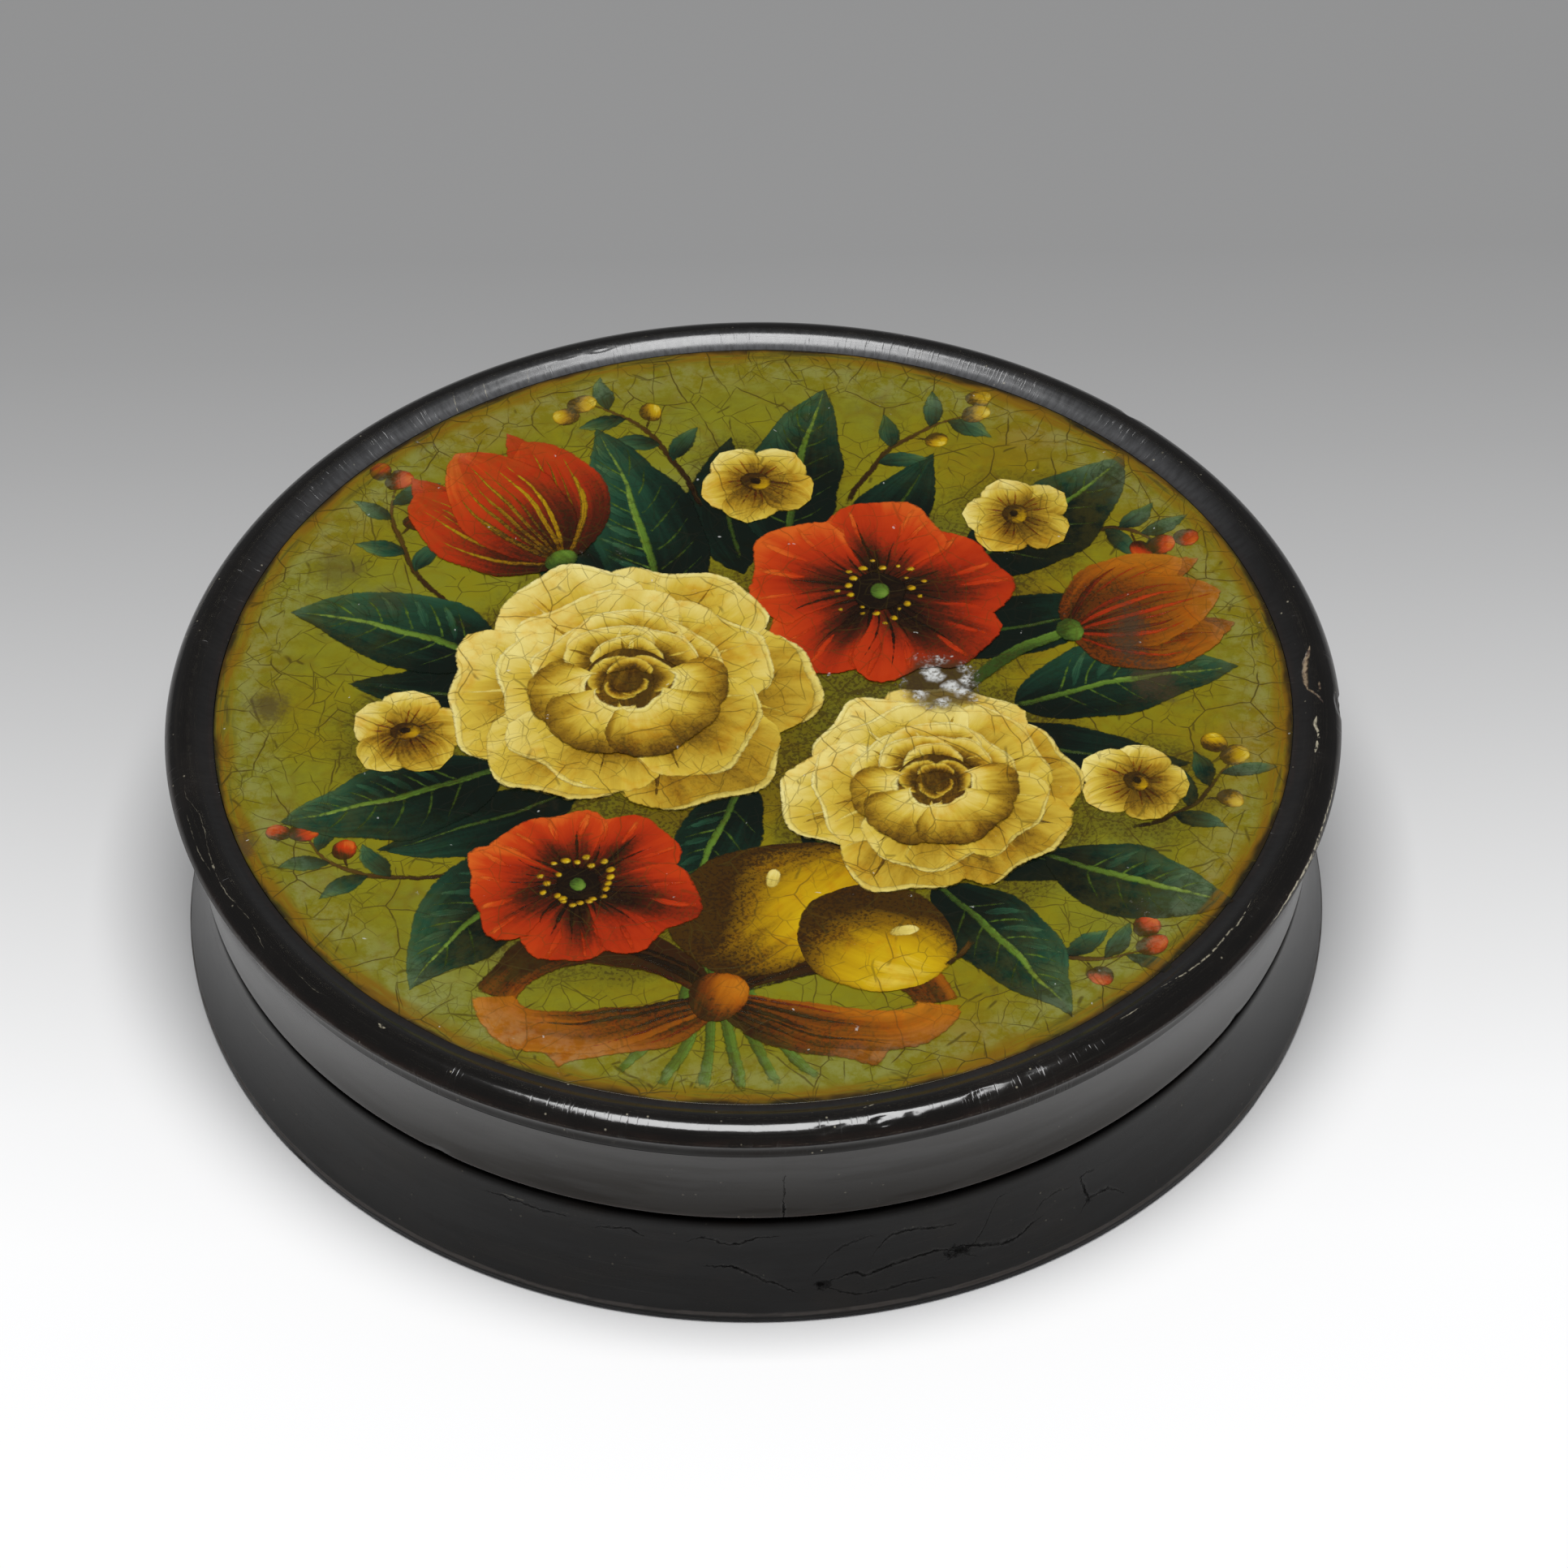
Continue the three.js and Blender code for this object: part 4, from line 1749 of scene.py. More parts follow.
    def paint_tulip(self, foot: Spot, heading: float, length: float, paint: Pigment, flame: Pigment) -> None:
        """Paints a tulip seen from the side, with feathered flames.

        Args:
            foot: where the cup joins its stem.
            heading: which way the cup points, in degrees.
            length: height of the cup.
            paint: its pigment.
            flame: the flames' pigment.
        """
        petals = (
            (17.0, 1.02, 0.34, -0.22), (-17.0, 1.02, 0.34, -0.22),
            (21.0, 0.95, 0.54, -0.06), (-21.0, 0.95, 0.54, -0.06), (0.0, 1.0, 0.60, 0.0),
        )
        lift = self.tulip_lift
        for swing, long, broad, dark in petals:
            way, bend = heading + swing, -1.7 * swing
            shape = Blade(foot, way, length * long, length * broad, bend, 0.46, 0.66, 0.01)
            lit = 0.14 * self.sunlit(heading + swing * 3.5)
            light = Shading(0.12 + dark, 0.72 + dark + lit, lit, 0.08, 0.08)
            self.lay(paint, shape, light, lift, grid=(12, 16))
            for number in range(7):
                side = -0.78 + 0.26 * number
                reach = 0.62 + 0.26 * math.cos(side * 1.6) + self.draw.uniform(-0.1, 0.1)
                tone = self.draw.uniform(0.2, 0.6) + dark
                self.brush(flame, TULIP_FLAME, shape, lift, side, length=reach, tone=tone)
            lift += self.step + 0.001
        self.lay(LEAF, Dome(foot, 1.1, 1.6, heading), RoundShading(0.0, 0.6), lift, 0.012, (5, 5))

    def paint_tulips(self) -> None:
        """Paints the two tulips and their stems."""
        tulips = (
            ((-15.5, 18.0), 124.0, 16.0, VERMILION, GOLD),
            ((26.0, 8.5), 20.0, 13.5, ORANGE, VERMILION),
        )
        for foot, heading, length, paint, flame in tulips:
            back = math.radians(heading + 180.0)
            stem = Trail((onward(foot, back + 0.3, 12.0), onward(foot, back, 6.0), foot), 1.3, 0.9, 0.9)
            self.lay(LEAF, stem, Shading(0.0, 0.45, 0.2), self.tulip_stem_lift, 0.008, (4, 12))
            self.paint_tulip(foot, heading, length, paint, flame)

    def paint_fruit(self) -> None:
        """Paints the golden fruit with their stalks and lights."""
        fruits = (
            (Dome((1.0, -22.0), 8.6, 6.6, 40.0, 0.22), 0.075),
            (Dome((9.5, -26.0), 6.6, 5.9, -30.0, 0.12), 0.09),
        )
        for fruit, lift in fruits:
            self.lay(GOLD, fruit, RoundShading(), lift, 0.012, (16, 16))
            shine = Dome(fruit.spot(0.30, 0.62), 1.1, 0.6, fruit.heading + 40.0)
            self.lay(WHITE, shine, Shading(0.2, 0.7), lift + 0.012, 0.004, (5, 5))
            tip, knee = fruit.spot(0.0, 0.97), fruit.spot(0.2, 1.0)
            stalk = Trail((tip, knee, (knee[0] + 1.4, knee[1] + 2.2)), 0.6, 0.8, 0.9)
            self.lay(UMBER, stalk, Shading(0.2, 0.8), lift + 0.012, 0.006, (3, 6))

    def paint_ribbon(self) -> None:
        """Paints the stems, and the ribbon's loops, tails and knot over them."""
        x, y = self.knot
        ends = ((-11.0, -39.8), (-7.5, -41.3), (-4.5, -41.9), (-1.5, -42.0), (1.5, -41.6), (4.5, -40.8))
        for number, end in enumerate(ends):
            top = (x + 0.35 * (end[0] - x), y + 8.0)
            stem = Trail((top, self.knot, end), 1.0, 0.8, 1.0)
            self.lay(LEAF, stem, Shading(0.12, 0.35, 0.25), self.stem_lift + 0.001 * number, 0.006, (3, 16))
        bands = (
            ((-6.0, 8.0), (-15.0, 7.5), (-17.5, 0.5), 0.02, 0.30),
            ((7.0, 7.0), (15.0, 5.5), (17.0, -1.0), 0.02, 0.30),
            ((-4.0, -5.0), (-9.0, -2.5), (-13.5, -6.0), 0.10, 0.60),
            ((4.0, -5.0), (8.0, -3.0), (13.0, -6.4), 0.10, 0.60),
            ((-8.0, -4.0), (-17.0, -6.0), (-17.5, 0.5), 0.24, 0.86),
            ((8.0, -4.0), (16.5, -6.0), (17.0, -1.0), 0.24, 0.86),
        )
        for number, (*bends, dark, light) in enumerate(bands):
            way = (self.knot, *((x + right, y + up) for right, up in bends))
            strip = Trail(way, 4.6, 0.35, 0.75)
            lift = self.ribbon_lift + 0.003 * number
            self.lay(ORANGE, strip, Shading(dark, light, 0.20, 0.0, 0.16), lift, grid=(10, 28))
            for side in (-0.72, -0.3, 0.2, 0.66):
                length = self.draw.uniform(0.35, 0.7)
                pigment = UMBER if side < 0.5 else VERMILION
                self.brush(pigment, RIBBON_CREASE, strip, lift, side, length=length)
        self.lay(ORANGE, Dome(self.knot, 2.9, 2.4, 70.0), RoundShading(0.05, 1.0), 0.085, 0.014, (9, 9))

    def paint_sprigs(self) -> None:
        """Paints the thin sprigs of berries and buds round the posy."""
        sprigs = (
            ((-24.0, 12.0), (-31.0, 20.0), (-29.0, 28.0), VERMILION),
            ((26.0, 20.0), (31.5, 21.5), (34.0, 18.8), VERMILION),
            ((30.0, -14.0), (36.0, -13.0), (38.5, -6.0), GOLD),
            ((-24.0, -18.0), (-33.0, -20.0), (-36.0, -13.0), VERMILION),
            ((8.0, 24.0), (12.0, 34.0), (19.0, 35.0), GOLD),
            ((-4.0, 24.0), (-7.0, 35.0), (-14.0, 37.0), GOLD),
            ((18.0, -24.0), (25.0, -31.0), (31.0, -27.0), VERMILION),
        )
        lift = self.sprig_lift
        for start, knee, end, paint in sprigs:
            stem = Trail((start, knee, end), 0.6, 0.9, 0.3)
            self.lay(UMBER, stem, Shading(0.4, 0.9), lift, grid=(3, 16))
            for number in range(6):
                share = 0.30 + 0.13 * number
                side = 1.0 if number % 2 else -1.0
                root = stem.spot(0.0, share)
                ahead = stem.spot(0.0, min(share + 0.05, 1.0))
                way = math.degrees(math.atan2(ahead[1] - root[1], ahead[0] - root[0])) + 52.0 * side
                if number % 3 == 2:
                    tip = onward(root, math.radians(way), 2.4)
                    self.lay(UMBER, Trail((root, tip), 0.3), Shading(0.4, 0.8), lift + 0.004, 0.004, (2, 4))
                    self.paint_berry(paint, Dome(tip, 1.15, 1.05, way))
                else:
                    leaf = Blade(root, way, 4.6, 1.9, 20.0 * side)
                    self.lay(TEAL, leaf, Shading(0.3, 0.9, 0.2), lift + 0.006, grid=(5, 8))
            self.paint_berry(paint, Dome(end, 1.3, 1.1, 40.0))

    def paint_berry(self, paint: Pigment, berry: Dome) -> None:
        """Paints one round berry or bud on a sprig."""
        self.lay(paint, berry, RoundShading(0.05, 1.0), self.sprig_lift * 2.0, 0.02, (7, 7))


@dataclass
class Lid:
    """The lid: a disc with a turned bead, the painted ground in its recess and a waisted wall."""

    posy: Posy
    waist_radius: float = 45.3
    bore: float = 43.2
    crest_inset: float = 1.9
    crest_round: float = 0.8
    crest_spread: float = 0.84
    slope_hollow: float = 0.95
    recess_gap: float = 0.1
    bead_height: float = 1.25
    bead_lean: float = 0.33
    bead_shoulder: float = 0.77
    undercut: float = 0.5
    undercut_drop: float = 0.3
    cove_rise: float = 1.3
    edge_round: float = 0.35
    hollow: float = 0.3
    glue_fill: float = 0.07
    dents: tuple[Dent, ...] = (
        Dent(93.6, 44.9, None, 2.4, 0.45, 0.14),
        Dent(89.9, 47.5, 21.3, 1.4, 0.9, 0.15),
        Dent(137.2, 47.3, 21.5, 1.0, 0.9, 0.17),
        Dent(5.9, 46.80, 22.05, 0.7, 0.5, 0.07),
        Dent(7.9, 46.75, 22.05, 0.5, 0.45, 0.06),
        Dent(11.7, 46.70, 22.1, 1.1, 0.55, 0.09),
        Dent(14.6, 46.70, 22.1, 0.5, 0.4, 0.05),
        Dent(22.0, 46.6, 22.2, 1.6, 0.6, 0.05),
        Dent(27.0, 46.5, 22.2, 1.1, 0.7, 0.05),
        Dent(33.0, 46.6, 22.2, 1.4, 0.6, 0.05),
        Dent(39.0, 46.5, 22.2, 0.9, 0.6, 0.06),
        Dent(-164.0, 45.1, None, 1.3, 0.3, 0.05),
        Dent(-160.5, 45.2, None, 0.8, 0.3, 0.05),
    )
    rim_chips: tuple[Mark, ...] = (
        RimMark(((91.0, 44.92), (92.0, 44.78), (93.6, 44.83), (95.6, 45.16), (97.3, 45.72)), 0.30, 1.0),
        RimMark(((88.8, 46.0), (90.0, 45.5), (90.9, 45.02), (91.8, 44.80)), 0.13, 0.8),
        RimMark(((90.6, 45.84), (91.3, 45.80), (92.0, 45.84)), 0.12, 0.6),
    )
    rim_scratches: tuple[Mark, ...] = (
        RimMark(((38.0, 45.42), (39.2, 45.50), (40.6, 45.46)), 0.07, 0.8),
        RimMark(
            ((44.1, 45.04), (46.5, 45.38), (49.0, 45.64), (51.4, 45.68), (54.3, 45.56), (56.2, 45.64),
             (58.1, 45.42), (59.7, 45.26)), 0.11, 0.85,
        ),
        RimMark(((64.0, 47.44), (68.0, 47.42), (75.0, 47.32)), 0.09, 0.55),
        RimMark(((83.9, 45.58), (84.6, 45.56), (85.7, 45.31), (87.0, 45.40)), 0.20, 1.0),
        RimMark(((81.6, 45.51), (82.4, 45.54), (83.4, 45.56)), 0.17, 1.0),
        RimMark(
            ((-81.4, 46.15), (-78.4, 46.36), (-76.1, 45.86), (-74.3, 45.72), (-72.0, 45.90), (-68.2, 46.29),
             (-64.5, 46.45), (-61.0, 46.22), (-59.4, 46.18), (-57.1, 46.53), (-54.9, 46.87)),
            0.055, 0.44,
        ),
        RimMark(((-76.5, 46.62), (-71.0, 46.80), (-67.5, 46.66)), 0.045, 0.36),
        RimMark(((-51.3, 46.3), (-48.0, 46.42), (-46.5, 46.2)), 0.045, 0.36),
        RimMark(((-112.0, 46.8), (-107.0, 46.9), (-103.0, 47.0)), 0.05, 0.36),
        RimMark(((-68.7, 46.24), (-68.2, 46.29), (-67.7, 46.26)), 0.15, 0.7),
        Mark(
            ((58.0, 21.36), (63.0, 21.46), (68.0, 21.44), (73.0, 21.54), (77.0, 21.50), (80.0, 21.58)),
            0.10, 1.5,
        ),
        RimMark(((-40.3, 45.70), (-39.8, 45.76), (-39.3, 45.72)), 0.17, 1.0),
        RimMark(((10.1, 45.30), (10.7, 45.20), (11.3, 45.04)), 0.12, 0.5),
        Mark(((-146.9, 45.43), (-146.2, 43.7)), 0.07, 0.8, Course.ACROSS_RIM),
        Mark(((-147.6, 44.17), (-149.5, 45.09)), 0.06, 0.7, Course.ACROSS_RIM),
        Mark(((-150.5, 45.18), (-150.1, 43.80)), 0.07, 0.8, Course.ACROSS_RIM),
        Mark(((-155.7, 45.21), (-155.2, 43.89)), 0.06, 0.6, Course.ACROSS_RIM),
    )

    def build(self) -> None:
        """Builds and dresses the lid's three pieces."""
        self.build_top()
        self.build_ground()
        self.build_wall()

    def build_top(self) -> None:
        """Turns the disc with its bead."""
        low, high = node_corners("lid_top")
        wall_high = node_corners("lid_wall")[1]
        ground_low, ground_high = node_corners("painted_ground")
        rim, crest = high.x, high.x - self.crest_inset
        joint, recess = wall_high.x, ground_high.x + self.recess_gap
        joint_z, widest_z = wall_high.z + self.recess_gap, high.z - self.bead_height
        recess_z = ground_low.z - self.recess_gap
        spigot = self.bore - self.recess_gap
        outline = Profile(0.0, low.z).line(spigot, low.z, 12).line(spigot, joint_z, 2).line(joint, joint_z, 3)
        outline.curve(
            (joint, joint_z + self.cove_rise), (rim - self.undercut, widest_z - self.undercut_drop),
            (rim, widest_z), parts=16,
        )
        outline.curve(
            (rim - self.bead_lean, widest_z + self.bead_shoulder), (crest + self.crest_spread, high.z),
            (crest, high.z), parts=22,
        )
        outline.curve(
            (crest - self.crest_round, high.z), (recess + self.slope_hollow, ground_high.z),
            (recess, ground_high.z), parts=24,
        )
        outline.line(recess, recess_z, 2).line(0.0, recess_z, 12)
        turnery = Turnery(steps=720, wander=0.06, seed=1.0, dents=self.dents)
        piece = turnery.turn("lid_top_bead", outline, False)
        edges = (
            WornEdge(rim - 0.05, widest_z + 0.1, 0.8, 0.3),
            WornEdge(recess + 0.2, ground_high.z, 0.5, 0.15),
        )
        # Painted sheen, with some real haze, on the bead's inner slope; the lacquer shows it only towards the
        # back.
        haze_and_sheen = WornEdge(recess + 0.6, ground_high.z + 0.25, 1.7, 0.9)
        # Painted shade in the cove under the bead, where the lid wall meets it.
        dulled_and_shaded = (WornEdge(joint + 0.1, joint_z + 0.6, 1.6, 0.88),)
        lacquer = BlackLacquer(gloss=0.13, index=1.62, ripple=0.35, cross_scratch=1.0, dust=0.5, smeared=0.0)
        wear = Wear(edges, scratches=self.rim_scratches, chips=self.rim_chips, haze_and_sheen=haze_and_sheen, dulled_and_shaded=dulled_and_shaded)
        finish = replace(lacquer, black=(0.0042, 0.0034, 0.0025)).make("bead_lacquer", wear)
        fit(piece, BODY_LID, "black_lacquer", finish, "lid_top")

    def build_ground(self) -> None:
        """Makes the painted ground, a thin disc that has cockled a little."""
        low, high = node_corners("painted_ground")
        edge, round_off = high.x + 0.05, 0.06
        outline = Profile(0.0, low.z).line(edge, low.z, 10).line(edge, high.z - round_off)
        outline.curve((edge, high.z), (edge - round_off, high.z), parts=3).line(0.0, high.z, 40)
        piece = Turnery(steps=240, wander=0.01, seed=5.0).turn("painted_ground_sheet", outline, False)
        gloom = piece.data.attributes.new("gloom", "FLOAT", "POINT")
        for vert, shade in zip(piece.data.vertices, gloom.data):
            shade.value = self.posy.gloom(vert.co.x / MM, vert.co.y / MM)
        fit(piece, BODY_LID, "painted_picture", OLIVE_GROUND.make("olive_ground"), "painted_ground")

    def build_wall(self) -> None:
        """Turns the waisted wall."""
        low, high = node_corners("lid_wall")
        waist, soft = self.waist_radius, self.edge_round
        outline = Profile(self.bore, low.z).line(waist - soft, low.z, 3)
        outline.curve((waist, low.z), (waist, low.z + soft), parts=6)
        joint_z = high.z + self.glue_fill
        outline.hollow(high.x, joint_z, self.hollow).line(self.bore, joint_z, 3)
        outline.line(self.bore, low.z + CLOSING, 8)
        bruises = (Dent(-34.0, waist, low.z, 1.2, 0.4, 0.08, 0.5), Dent(57.0, waist, low.z, 0.9, 0.4, 0.10))
        piece = Turnery(steps=480, wander=0.06, seed=2.0, dents=bruises).turn("lid_wall_ring", outline, True)
        wear = Wear(
            edges=(
                WornEdge(waist, low.z + 0.15, 0.5, 0.30),
                WornEdge(self.bore, low.z, 0.8, 0.9),
            ),
            cracks=(
                Mark(((2.1, low.z), (2.2, low.z + 1.2), (2.1, low.z + 2.3)), 0.10, 1.0, Course.UP_WALL),
                Mark(((2.2, low.z + 2.0), (2.3, low.z + 5.8)), 0.07, 0.5, Course.UP_WALL),
            ),
            # The lower wall is dulled and renders darker towards its lower edge.
            dulled_and_shaded=(WornEdge(waist, low.z, 7.5, 0.42),),
        )
        lacquer = BlackLacquer(gloss=0.16, index=1.375, smeared=0.55, black=(0.0080, 0.0056, 0.0032))
        finish = lacquer.make("lid_wall_lacquer", wear)
        fit(piece, BODY_LID, "black_lacquer", finish, "lid_wall")


@dataclass
class Base:
    """The base: a flaring wall, the floor let into it and the neck that the lid slides over."""

    top_radius: float = 45.1
    floor_seat: float = 44.6
    neck_seat: float = 43.1
    neck_bore: float = 41.6
    neck_lead: float = 0.5
    edge_round: float = 0.35
    foot_round: float = 0.6
    hollow: float = 0.3
    inner: InnerLacquer = InnerLacquer()
    cracks: tuple[Mark, ...] = (
        Mark(((4.8, 4.26), (6.7, 6.15), (9.2, 7.26), (11.4, 7.62)), 0.12, 0.55),
        Mark(((10.4, 4.0), (10.8, 5.45), (12.1, 6.82), (13.9, 7.48), (17.1, 7.19), (19.9, 6.88)), 0.15, 0.75),
        Mark(
            ((5.6, 3.41), (7.9, 3.96), (9.1, 4.21), (10.1, 3.80), (11.9, 4.23), (15.5, 4.73), (17.7, 4.75),
             (20.4, 4.1)), 0.16, 0.75,
        ),
        Mark(((5.6, 3.41), (8.3, 2.33), (11.4, 2.16), (14.6, 2.42), (17.5, 2.30)), 0.11, 0.5),
        Mark(((19.5, 3.98), (21.4, 4.64), (22.7, 6.02), (24.0, 7.97), (25.2, 8.31)), 0.13, 0.6),
        Mark(((18.9, 4.60), (20.4, 4.50), (23.6, 3.73), (25.5, 3.56), (27.2, 4.19), (29.1, 4.73)), 0.17, 0.8),
        Mark(((18.0, 3.5), (19.6, 4.0), (21.6, 3.2)), 0.13, 0.7),
        Mark(((27.7, 5.05), (29.0, 5.99), (30.7, 6.40), (32.6, 6.08)), 0.11, 0.5),
        Mark(((33.0, 3.1), (34.2, 4.15), (35.8, 4.24), (37.2, 3.81), (38.8, 2.7)), 0.16, 0.75),
        Mark(((34.4, 3.9), (33.8, 5.81), (33.7, 6.60)), 0.15, 0.85, Course.UP_WALL),
        Mark(((33.4, 6.45), (34.2, 6.75), (35.4, 6.60)), 0.14, 0.7),
        Mark(((-28.9, 8.33), (-26.0, 8.42), (-22.8, 8.30), (-19.0, 8.39)), 0.11, 0.75),
        Mark(((-17.0, 7.85), (-14.5, 8.31), (-13.0, 8.31), (-11.6, 7.75)), 0.12, 0.75),
        Mark(((-7.6, 7.8), (-5.8, 8.26), (-3.7, 7.76), (-2.2, 7.71), (-0.8, 8.31), (1.9, 8.52)), 0.13, 0.85),
        Mark(((-6.0, 5.35), (-4.0, 5.40), (-2.8, 5.33), (-0.3, 4.31), (1.5, 3.65), (3.7, 2.69)), 0.15, 0.9),
    )
    pits: tuple[Pit, ...] = (Pit(5.8, 3.42, 0.75, 0.42), Pit(19.7, 4.2, 1.35, 0.62), Pit(34.3, 4.1, 0.4, 0.4))

    def build(self) -> None:
        """Builds and dresses the base's three pieces."""
        self.build_wall()
        self.build_floor()
        self.build_neck()

    def build_wall(self) -> None:
        """Turns the base wall."""
        low, high = node_corners("base_wall")
        rebate = node_corners("neck_ring")[0].z
        foot, top = high.x, self.top_radius
        outline = Profile(self.floor_seat, low.z).line(foot - self.foot_round, low.z, 3)
        outline.curve((foot, low.z), (foot, low.z + self.foot_round), parts=7)
        outline.hollow(top, high.z - self.edge_round, self.hollow)
        outline.curve((top, high.z), (top - self.edge_round, high.z), parts=6)
        outline.line(self.neck_seat, high.z, 3).line(self.neck_seat, rebate, 6)
        outline.line(self.floor_seat, rebate, 2).line(self.floor_seat, low.z + CLOSING, 3)
        bruises = (
            Dent(19.8, 45.8, 4.2, 0.8, 0.4, 0.08),
            Dent(5.9, 46.0, 3.4, 0.6, 0.3, 0.06),
            Dent(-52.0, foot, 0.7, 1.6, 0.4, 0.08, 0.5),
            Dent(61.0, foot, 0.6, 2.2, 0.4, 0.06, 0.5),
        )
        piece = Turnery(steps=480, wander=0.09, seed=3.0, dents=bruises).turn("base_wall_ring", outline, True)
        foot_line = low.z + 0.92
        edges = (WornEdge(foot, foot_line, 0.27, 4.0),)
        # Painted shade: the foot's rounding where it meets the floor and the wall's top edge under the lid's
        # overhang are dulled dark.
        dulled_and_shaded = (WornEdge(foot - 0.3, low.z, 0.80, 1.6), WornEdge(top, high.z, 1.3, 1.1))
        scratches = (
            Mark(((-64.0, 7.2), (-61.0, 7.6), (-58.5, 7.9)), 0.07, 0.30),
            Mark(((-30.0, 8.6), (-22.0, 8.7), (-12.0, 8.5)), 0.06, 0.26),
        )
        wear = Wear(edges, self.cracks, scratches, pits=self.pits, dulled_and_shaded=dulled_and_shaded)
        lacquer = BlackLacquer(gloss=0.24, index=1.29, matted=0.5, rubbed=(0.058, 0.050, 0.045))
        finish = lacquer.make("base_wall_lacquer", wear)
        fit(piece, BODY_BASE, "black_lacquer", finish, "base_wall")

    def build_floor(self) -> None:
        """Makes the floor disc."""
        low, high = node_corners("base_floor")
        soft = 0.2
        outline = Profile(0.0, low.z).line(high.x - soft, low.z, 16)
        outline.curve((high.x, low.z), (high.x, low.z + soft), parts=3).line(high.x, high.z - soft)
        outline.curve((high.x, high.z), (high.x - soft, high.z), parts=3).line(0.0, high.z, 20)
        piece = Turnery(steps=192, wander=0.03, seed=4.0).turn("base_floor_disc", outline, False)
        edges = (WornEdge(high.x, low.z, 1.0, 0.4),)
        finish = self.inner.make("floor_lacquer", edges, (self.neck_bore, high.z))
        fit(piece, BODY_BASE, "inner_lacquer", finish, "base_floor")

    def build_neck(self) -> None:
        """Turns the neck ring."""
        low, high = node_corners("neck_ring")
        neck, lead, soft = high.x, self.neck_lead, 0.3
        outline = Profile(self.neck_bore, low.z).line(neck, low.z, 2).line(neck, high.z - lead, 14)
        outline.curve((neck, high.z), (neck - lead, high.z), parts=6)
        outline.line(self.neck_bore + soft, high.z, 2)
        outline.curve((self.neck_bore, high.z), (self.neck_bore, high.z - soft), parts=4)
        outline.line(self.neck_bore, low.z + soft, 14)
        chips = (Dent(-20.0, neck, high.z, 1.8, 0.5, 0.2), Dent(74.0, self.neck_bore, high.z, 1.2, 0.4, 0.2))
        piece = Turnery(steps=384, wander=0.03, seed=6.0, dents=chips).turn("neck_ring_tube", outline, True)
        edges = (WornEdge(neck - 0.2, high.z - 0.1, 0.9, 0.9), WornEdge(self.neck_bore, high.z, 0.7, 0.7))
        finish = self.inner.make("neck_lacquer", edges, (self.neck_bore, low.z))
        fit(piece, BODY_BASE, "inner_lacquer", finish, "neck_ring")


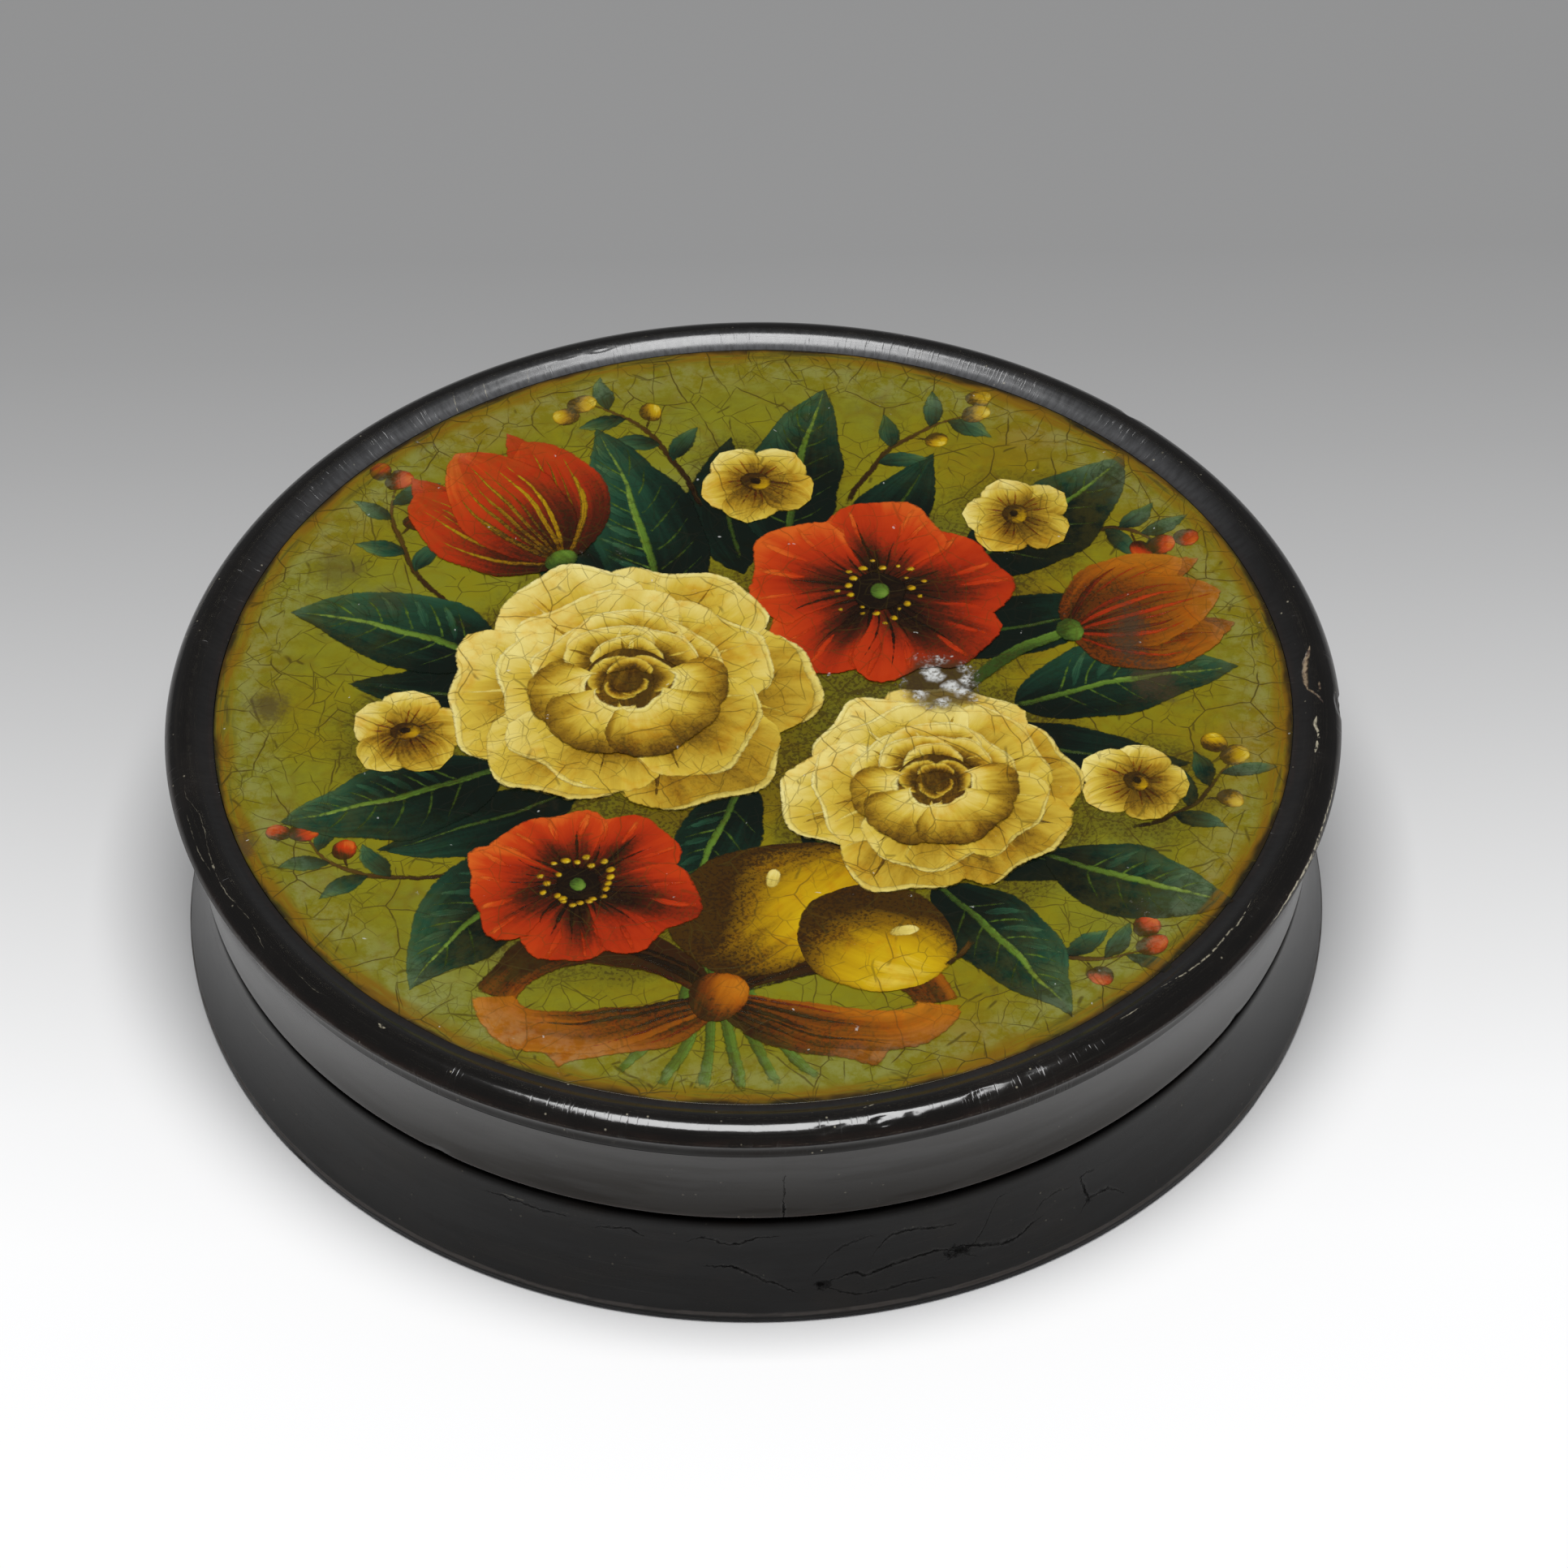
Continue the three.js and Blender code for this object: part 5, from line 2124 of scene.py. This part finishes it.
@dataclass
class Studio:
    """A floor coloured darker towards the back, one soft box overhead in a dim room, and the camera."""

    floor_size: float = 6000.0
    floor_drop: float = 0.04
    floor_relief: float = 0.01
    floor_shine: float = 0.1
    floor_stops: tuple[Spot, ...] = (
        (-37.3, 0.995), (-23.0, 0.945), (-8.6, 0.835), (6.5, 0.725), (22.0, 0.610),
        (38.0, 0.505), (54.7, 0.412), (68.0, 0.355), (80.7, 0.320),
    )
    room: Colour = (0.118, 0.120, 0.126)
    backdrop: Colour = (0.30, 0.30, 0.30)
    lamp_width: float = 520.0
    lamp_depth: float = 460.0
    lamp_distance: float = 900.0
    lamp_lean: float = 9.0
    lamp_power: float = 8.0
    distance: float = 660.0
    rise: float = 44.3
    lens: float = 187.6
    sensor_width: float = 36.0
    clip_start: float = 10.0
    bead_drop: float = 0.7
    aim_right: float = 2.5
    aim_down: float = 5.96
    roll: float = 0.96

    def build(self) -> None:
        """Sets the floor, the light and the camera."""
        self.build_floor()
        self.build_light()
        self.build_camera()
        bpy.context.scene.view_settings.view_transform = "Standard"

    def build_floor(self) -> None:
        """Lays the floor, which pales towards the front."""
        mesh = bmesh.new()
        bmesh.ops.create_grid(mesh, x_segments=1, y_segments=1, size=self.floor_size / 2.0)
        bmesh.ops.translate(mesh, vec=(0.0, 0.0, -self.floor_drop), verts=mesh.verts[:])
        floor = finish_mesh("floor", mesh)
        coat = Coat("floor_paper")
        near, far = self.floor_stops[0][0], self.floor_stops[-1][0]
        share = (coat.at.y - near) / (far - near)
        stops = [((y - near) / (far - near), (grey, grey, grey)) for y, grey in self.floor_stops]
        rough = coat.noise(coat.at.spot, 0.5) * 0.1 + 0.85
        coat.colour = coat.ramp(share, stops)
        shine = {"Specular IOR Level": self.floor_shine}
        paper = coat.finish(rough, coat.noise(coat.at.spot, 1.5), self.floor_relief, shine)
        floor.data.materials.append(paper)

    def build_light(self) -> None:
        """Hangs the soft box, leaning a little to the camera, and sets the room's grey."""
        lean = math.radians(self.lamp_lean)
        lamp = bpy.data.lights.new("soft_box", "AREA")
        lamp.shape = "RECTANGLE"
        lamp.size = self.lamp_width * MM
        lamp.size_y = self.lamp_depth * MM
        lamp.energy = self.lamp_power
        holder = bpy.data.objects.new("soft_box", lamp)
        holder.location = Vector((0.0, -math.sin(lean), math.cos(lean))) * self.lamp_distance * MM
        holder.rotation_euler = (-lean, 0.0, 0.0)
        bpy.context.scene.collection.objects.link(holder)
        world = bpy.data.worlds.new("studio_grey")
        graph = Graph(world)
        seen = graph.node("ShaderNodeLightPath", output="Is Camera Ray")
        grey = graph.mix(self.room, self.backdrop, seen)
        background = graph.node("ShaderNodeBackground", inputs={"Color": grey, "Strength": 1.0})
        graph.node("ShaderNodeOutputWorld", inputs={"Surface": background})
        bpy.context.scene.world = world

    def build_camera(self) -> None:
        """Sets the camera where the photograph was taken from."""
        rim_middle = Vector((0.0, 0.0, node_corners("lid_top")[1].z - self.bead_drop))
        rise, roll = math.radians(self.rise), math.radians(self.roll)
        back = Vector((0.0, -math.cos(rise), math.sin(rise)))
        level = Vector((1.0, 0.0, 0.0))
        up = back.cross(level)
        right = level * math.cos(roll) - up * math.sin(roll)
        tilted_up = up * math.cos(roll) + level * math.sin(roll)
        eye = rim_middle + back * self.distance
        aim = rim_middle + right * self.aim_right - tilted_up * self.aim_down
        sight = (eye - aim).normalized()
        right = tilted_up.cross(sight).normalized()
        tilted_up = sight.cross(right)
        lens = bpy.data.cameras.new("camera")
        lens.lens = self.lens
        lens.sensor_width = self.sensor_width
        lens.clip_start = self.clip_start * MM
        camera = bpy.data.objects.new("camera", lens)
        facing = Matrix((right, tilted_up, sight)).transposed().to_4x4()
        camera.matrix_world = Matrix.Translation(eye * MM) @ facing
        bpy.context.scene.collection.objects.link(camera)
        bpy.context.scene.camera = camera


def write_sizes() -> None:
    """Brings the scene's view layer up to date."""
    bpy.context.view_layer.update()


def main() -> None:
    """Builds the snuff box and its studio."""
    logging.basicConfig(level=logging.INFO, format="%(name)s: %(message)s")
    posy = Posy()
    Studio().build()
    Base().build()
    Lid(posy).build()
    posy.build()
    write_sizes()


if __name__ == "__main__":
    main()
